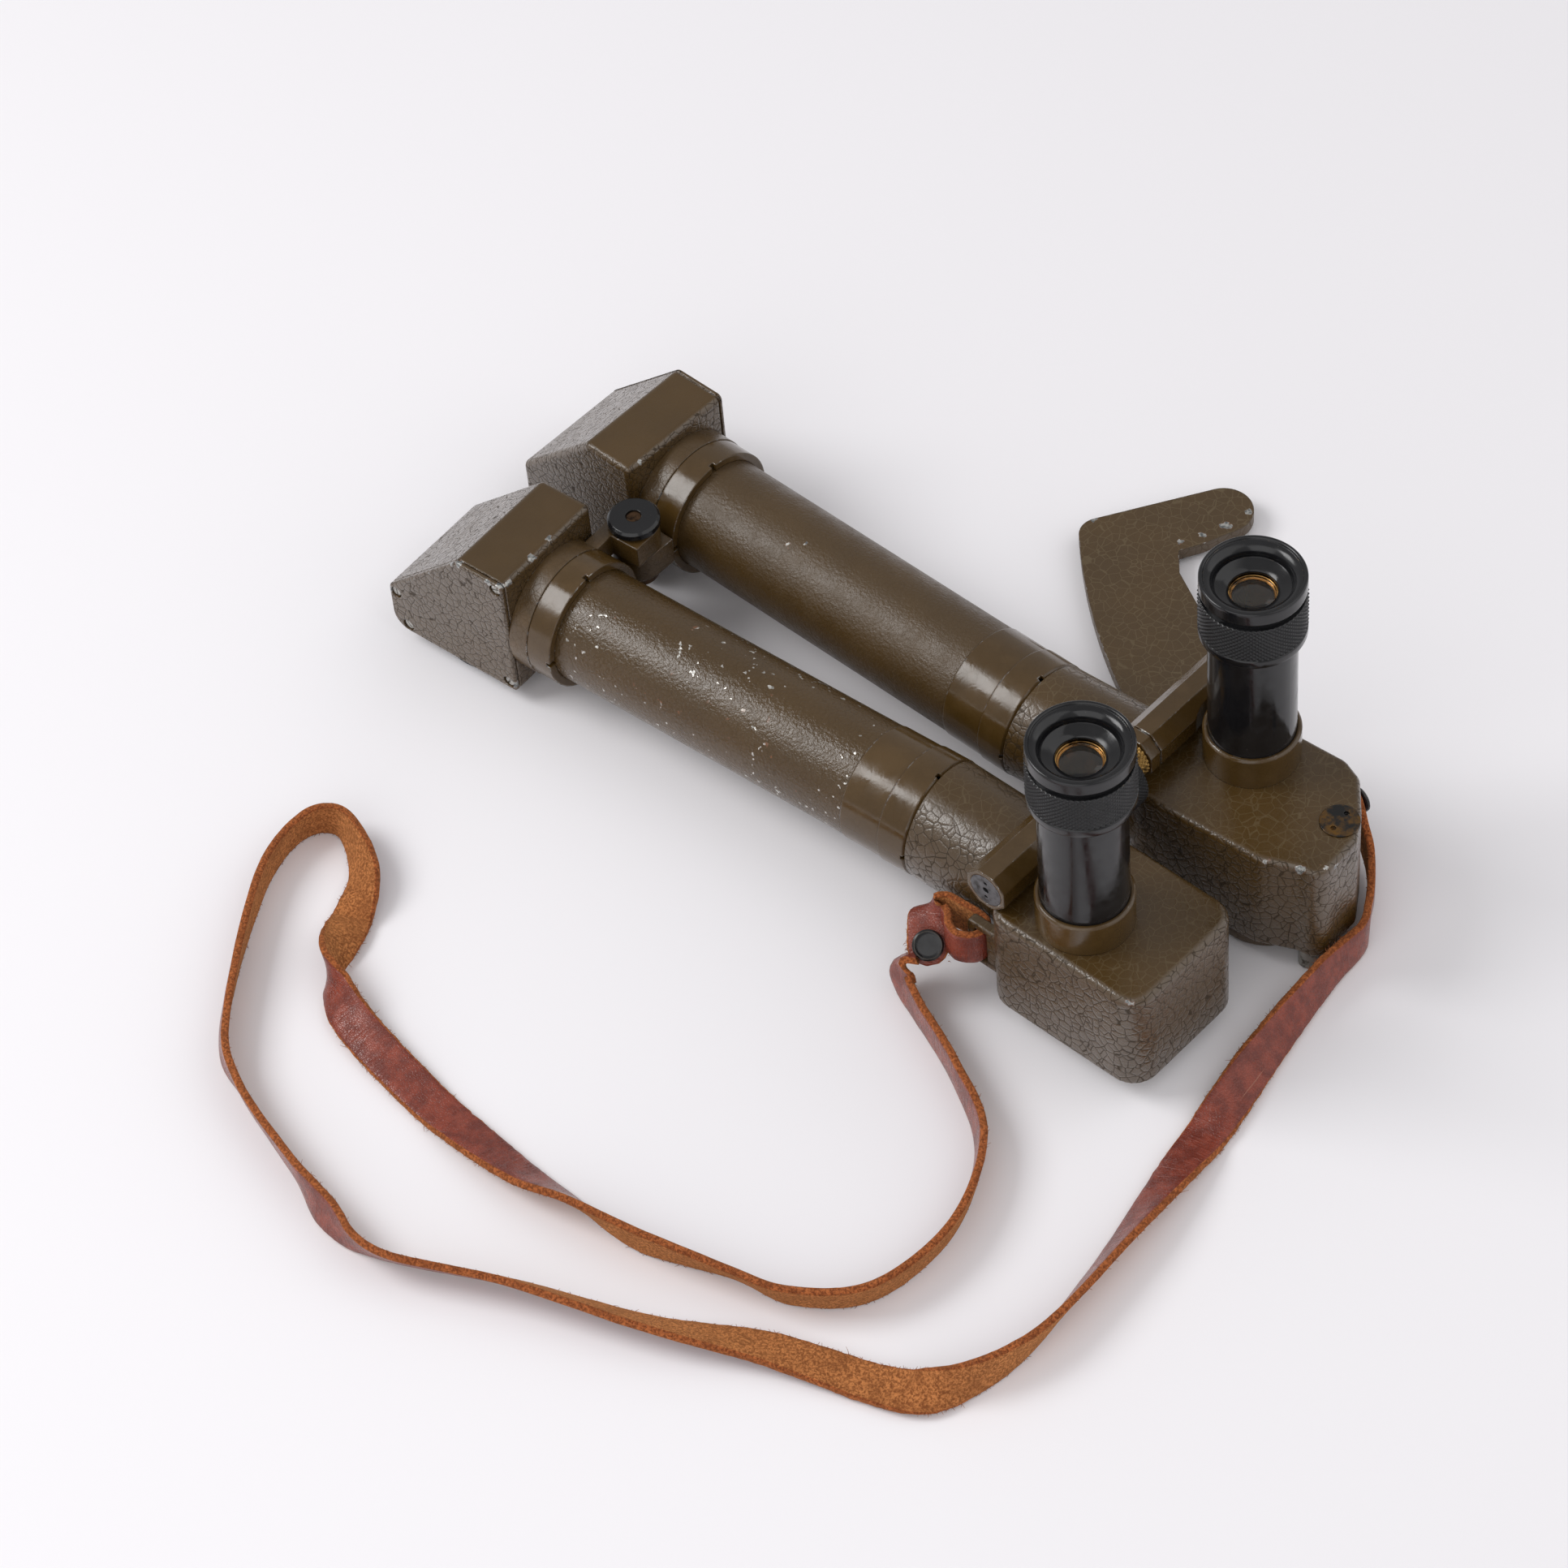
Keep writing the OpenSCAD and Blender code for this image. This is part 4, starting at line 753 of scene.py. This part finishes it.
def strap_places(frames, section, total, seed, round_end):
    """The skin's places with their edges ragged, and how far along, across and deep each is."""
    verts, along = [], []
    for centre, _, wide, deep, far in frames:
        share = narrowed(far, total, round_end)
        ragged = [wave(far * 0.33, k * 7.1, seed) * 0.2 + wave(far * 1.7, k * 3.3, seed) * 0.24
                  for k in (0, 1)]
        for u, v, slot in section:
            out = ragged[0] if u > 0 else -ragged[1]
            outward = abs(u) / HALF_W
            lift = wave(far * 0.11, u * 0.25, seed + 5) * 0.12
            if slot != GRAIN_SLOT:
                lift += wave(far * 2.1, u * 2.1 + v, seed) * 0.09
            place = (centre + wide * (u * share + out * outward ** 6)
                     + deep * (v + lift * (0.3 + 0.7 * outward)))
            place.z = max(place.z, 0.06)
            verts.append(place * MM)
            along.append((far * MM, u * MM, v * MM))
    return verts, along


def ribbon(name, line, seed, round_end, hairs=1.0):
    """The strap along line, with ragged edges and loose fibres."""
    section = strap_section()
    frames = strap_frames(line)
    total = length(line)
    verts, along = strap_places(frames, section, total, seed, round_end)
    faces, slots = [], []
    n, count = len(section), len(line)
    for i in range(count - 1):
        for k in range(n):
            j = (k + 1) % n
            faces.append((i * n + k, (i + 1) * n + k, (i + 1) * n + j, i * n + j))
            same = section[k][2] == section[j][2]
            slots.append(section[k][2] if same else CUT_SLOT)
    faces += [tuple(reversed(range(n))), tuple(range((count - 1) * n, count * n))]
    slots += [CUT_SLOT, CUT_SLOT]
    for corners, far in loose_fibres(frames, int(total * FIBRES_PER_MM * hairs), seed):
        base = len(verts)
        verts += corners
        along += [(far * MM, 0, 0)] * len(corners)
        for j in range(3):
            for k in range(3):
                a, b = base + 3 * j + k, base + 3 * j + (k + 1) % 3
                faces.append((a, b, b + 3, a + 3))
        faces += [(base + 2, base + 1, base), (base + 9, base + 10, base + 11)]
        slots += [FIBRE_SLOT] * 11
    shape = piece(name, verts, faces, [grain_side, cut_edge, flesh_side, fibre], slots)
    places = shape.data.attributes.new("along", "FLOAT_VECTOR", "POINT")
    places.data.foreach_set("vector", [x for v in along for x in v])
    return shape


def strap():
    """The strap with its right fold, and the left fold as a piece of its own."""
    right_end = []
    for x, y, z, lean in RIGHT_LOOP[RIGHT_LOOP_FROM:]:
        place = RIGHT @ HOUSE @ Vector((x, y, z))
        right_end.append((place.x, place.y, place.z, -lean))
    line = spline(ROUTE + right_end, 1.1)
    leather = ribbon("strap_leather", line, 3, (False, True))
    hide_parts("strap", "right_strap_loop")
    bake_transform(leather)
    left_end = ribbon("strap_left_loop", spline(LEFT_LOOP, 0.7), 8, (True, False), hairs=1.6)
    stand_in(left_end, "left_strap_loop", "left_telescope")


strap()


# Housings: hollow, with the tube's socket, the eyepiece's seat and the strap ear
LEFT_PLAN = [(-20.6, -14.3), (27.4, -14.3), (27.4, 24.5), (-20.6, 24.5)]
RIGHT_PLAN = [(-20.6, -11.2), (20, -11.2), (25.8, -8.6), (32, -0.3), (36.4, 7.6), (36.4, 23),
              (29.9, 23.2), (20.2, 27), (-20.6, 27)]
RIGHT_CORNERS = [7, 6, 4, 6, 4.5, 4.4, 5, 9, 7]
RIGHT_ROOM = [(-20.6, -11.2), (24.4, -11.2), (24.4, 27), (-20.6, 27)]
ROOM_WALL, ROOM_LOW, ROOM_HIGH = 2.4, 7.5, 36
RECESS_WALL, RECESS_LOW, RECESS_HIGH = 1.3, 5, 7.6
SOCKET_R, SPIGOT_R, SEAT_R = 15.7, 13.6, 10.95
JOINT_GAP = 0.05


def housing(side, at, plan, corners, fillet, room, adds, cuts, look):
    house = at @ HOUSE
    socket = house @ along_x(HOUSE_Y, AXIS_Z)
    shape = loft(side + "_housing_shell", plan, corners, steps(HOUSE_LOW, HOUSE_TOP, 0.8, fillet),
                 house, (look,))
    hollows = [
        loft("room", room, [5] * 4, [(ROOM_LOW, ROOM_WALL), (ROOM_HIGH, ROOM_WALL)], house),
        loft("recess", room, [7] * 4, [(RECESS_LOW, RECESS_WALL), (RECESS_HIGH, RECESS_WALL)], house),
        rod(SPIGOT_R, -66, -18, socket),
        rod(SEAT_R, 32.4, 46, house),
        box((130, -50, -5), (JOINT_END + JOINT_GAP, 40, 60), at)]
    carve(shape, [rod(SOCKET_R, -60, -13.6, socket)] + adds, hollows + cuts)
    stand_in(shape, side + "_housing", side + "_telescope")


def left_housing():
    house = LEFT @ HOUSE
    ear = loft("ear", [(-27.6, 13), (-16.6, 13), (-16.6, 27.4), (-27.6, 27.4)], [1.2] * 4,
               steps(9.2, 12, 0.5, 0.5, 3), house @ along_y(), seg=4)
    bar_seat = box((-23.3, -4, 32.3), (-17.3, 22, HOUSE_TOP), house)
    slot = box((-25.2, -13, 14.7), (-21.4, -8, 25.7), house)
    housing("left", LEFT, LEFT_PLAN, [7] * 4, 2.2, LEFT_PLAN, [ear, bar_seat], [slot], left_block)


def right_housing():
    house = RIGHT @ HOUSE
    ear = loft("ear", [(-17.2, 7.8), (-10.2, 7.8), (-10.2, 22.2), (-17.2, 22.2)],
               [1.2, 0.3, 0.3, 1.2], steps(12, 15, 0.5, 0.5, 3), house @ along_x(), seg=4)
    slot = box((11, -15.2, 9.4), (16, -11.2, 20.6), house)
    plug_seat = rod(5.05, 37.6, 40, house @ shift(30, 5.9))
    housing("right", RIGHT, RIGHT_PLAN, RIGHT_CORNERS, 1.7, RIGHT_ROOM, [ear], [slot, plug_seat],
            right_block)


left_housing()
right_housing()


# Heads: a hollow box with a slanted face, its side cover and four countersunk screws
HEAD = [(-21.7, 4), (20, 4), (20, 43.5), (4.6, 43.5), (-21.7, 18.9)]
HEAD_ROUND = [5, 1, 1.8, 2.4, 2.4]
HEAD_ROOM = [(-18.7, 10), (17, 10), (17, 40.5), (5.8, 40.5), (-18.7, 17.6)]
HEAD_LOW, HEAD_HIGH, COVER_TOP = -17.7, 16.2, 17.7
LENS_R, COLLAR_R = 13.5, 15.0
SCREWS = [(17.6, 41.1), (17.6, 6.4), (-19.3, 17.4), (-16.7, 6.4)]
SCREW_R, SCREW_HOLE_R = 1.6, 1.75
SCREW = [(0, 15), (0.8, 15), (0.8, 16.3), (SCREW_R, 16.9), (SCREW_R, 17.15), (1.4, 17.3), (0, 17.35)]


def head(side, at, look):
    shape = loft(side + "_head_shell", HEAD, HEAD_ROUND, steps(HEAD_LOW, HEAD_HIGH, 1.7, 0.4),
                 at @ along_y(), (look,))
    carve(shape, (), [prism(HEAD_ROOM, -14.7, 17, at @ along_y()), rod(LENS_R, 3, 12, at),
                      rod(COLLAR_R, 16, 22, at @ along_x(0, AXIS_Z))])
    stand_in(shape, side + "_head", side + "_telescope")


def head_cover(side, at, look):
    """The side cover, with a fine groove where it meets the head."""
    groove = [(16.22, 0.45), (16.46, 0.4), (16.56, 0.03)]
    plate = steps(16.6, COVER_TOP, 0, 0.7, 5)[1:]
    shape = loft(side + "_cover_plate", HEAD, HEAD_ROUND, groove + plate, at @ along_y(), (look,))
    carve(shape, (), [rod(SCREW_HOLE_R, 16, 18, at @ along_y() @ shift(x, z), 32) for x, z in SCREWS])
    stand_in(shape, side + "_head_cover", side + "_telescope")


def cover_screws(side, at):
    for k, (x, z) in enumerate(SCREWS):
        place = at @ along_y() @ shift(x, z) @ turn(37 * k + 20)
        shape = turned(f"{side}_cover_screw_{k}", SCREW, place, (steel,), seg=32)
        carve(shape, (), [box((-2, -0.2, 17.0), (2, 0.2, 18), place)])
        stand_in(shape, side + "_cover_screws", side + "_telescope")


for side, at in SIDES:
    look = left_head if side == "left" else right_head
    head(side, at, look)
    head_cover(side, at, look)
    cover_screws(side, at)


# Eyepieces
RING_R, RING_BORE = 13.2, 10.1
RING_BAND = [(RING_BORE, 82.8), (12.5, 82.8), (13.0, 83.2), (13.1, 83.5), (13.1, 85.3),
             (12.8, 85.65), (RING_BORE, 85.65)]
CUP_R, CUP_LIP = 12.94, 0.55


def cup_profile():
    """The eyecup: a foot and a wall, a round lip, and a curved bowl down to the lens."""
    wall = [(5.9, 95.9), (12.0, 95.9), (12.0, 97.6), (12.2, 98.0), (CUP_R, 98.1), (CUP_R, 100.8)]
    lip = [(CUP_R - CUP_LIP + CUP_LIP * math.cos(a), 101.25 + CUP_LIP * math.sin(a))
           for a in [math.radians(d) for d in range(10, 171, 20)]]
    bowl = [(11.8 - 2.9 * math.sin(a) * 0.9, 101.2 - 3.2 * (1 - math.cos(a)))
            for a in [math.pi / 2 * k / 8 for k in range(9)]]
    return wall + lip + bowl + [(8.6, 97.7), (7.2, 97.2), (6.3, 96.9), (5.9, 96.5)]


def eyepiece(side, at):
    house = at @ HOUSE
    body = side + "_focus"
    ring = knurled(side + "_knurled_ring", house, RING_R, 85.6, 96, teeth=60, rows=8, deep=0.5,
                   bore=RING_BORE, mats=(black_matt, black), body=body, soft=0.1)
    band = turned(side + "_ring_band", RING_BAND, house, (black,), body)
    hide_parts(side + "_focus_ring")
    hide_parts(side + "_focus_ring")
    cup = turned(side + "_eyecup_shell", cup_profile(), house, (black,), body, angle=40)
    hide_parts(side + "_eyecup")


for side, at in SIDES:
    eyepiece(side, at)


# Wheel and bush on the bridge
BAR = HOUSE @ shift(-20.3, 0, 44.1) @ turn(-90, "X")
SPINDLE_BORE = 3.02
wheel = knurled("wheel_knurled", BAR, 10.0, 28.7, 36.1, teeth=56, rows=6, deep=0.4,
                bore=SPINDLE_BORE, mats=(black_matt, black), body="adjusting_screw")
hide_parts("bridge_wheel")
bush = knurled("bush_knurled", BAR, 5.5, 36.15, 41.85, teeth=26, rows=4, deep=0.45,
               bore=SPINDLE_BORE, mats=(brass, brass), body="adjusting_screw")
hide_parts("bridge_bush")


# Looks of the CAD pieces that stay
SIDE_LOOKS = {
    "objective_bezel": black, "objective_lens": lens_glass, "roof_prism": prism_glass,
    "hinge_collar": collar_paint, "lock_ring": gloss, "tube_band": gloss, "joint_ring": gloss,
    "prisms": prism_glass, "base_cover": gloss, "eyepiece_collar": gloss, "eyepiece_tube": black,
    "eye_cell": bronze, "eye_lenses": lens_glass, "strap_snap": black_snap}
LOOKS = {
    "left_tube": left_barrel, "right_tube": right_barrel, "hinge_pin": brown_steel,
    "hinge_washer": brass, "hinge_knob": black, "bridge_bar": gloss, "bridge_end_cap": grey_cap,
    "bridge_spindle": steel, "bridge_block": gloss, "bridge_drive_pin": steel,
    "hook_plate": hook_paint, "hook_pivot_screw": dull_steel, "support_pin": dull_steel,
    "brass_plug": stained}
for side, _ in SIDES:
    for node, look in SIDE_LOOKS.items():
        dress(side + "_" + node, look)
for node, look in LOOKS.items():
    dress(node, look)


# Floor and light, in metres and watts
FLOOR_HALF, FLOOR_Z = 4, -0.0001
LIGHT_AIM = (0.12, 0.0, 0.0)


def floor_plane():
    corners = [(-1, -1), (1, -1), (1, 1), (-1, 1)]
    verts = [(x * FLOOR_HALF, y * FLOOR_HALF, FLOOR_Z) for x, y in corners]
    return piece("floor", verts, [(0, 1, 2, 3)], [floor_look])


def room_light(colour, strength):
    world = bpy.data.worlds.new("room")
    bpy.context.scene.world = world
    world.use_nodes = True
    background = world.node_tree.nodes["Background"]
    background.inputs["Color"].default_value = colour
    background.inputs["Strength"].default_value = strength


def lamp(name, power, size, at):
    data = bpy.data.lights.new(name, "AREA")
    data.energy = power
    data.size = size
    light = bpy.data.objects.new(name, data)
    bpy.context.scene.collection.objects.link(light)
    light.location = at
    light.rotation_euler = (Vector(LIGHT_AIM) - Vector(at)).to_track_quat("-Z", "Y").to_euler()
    return light


floor = floor_plane()
room_light((1.0, 0.99, 1.0, 1), 0.46)
key = lamp("key", 9.8, 0.7, (-0.75, -0.55, 1.05))
fill = lamp("fill", 6.2, 1.5, (0.45, -1.2, 0.8))
back = lamp("back", 6.4, 1.8, (1.05, 0.55, 0.85))
bpy.context.scene.view_settings.view_transform = "Standard"
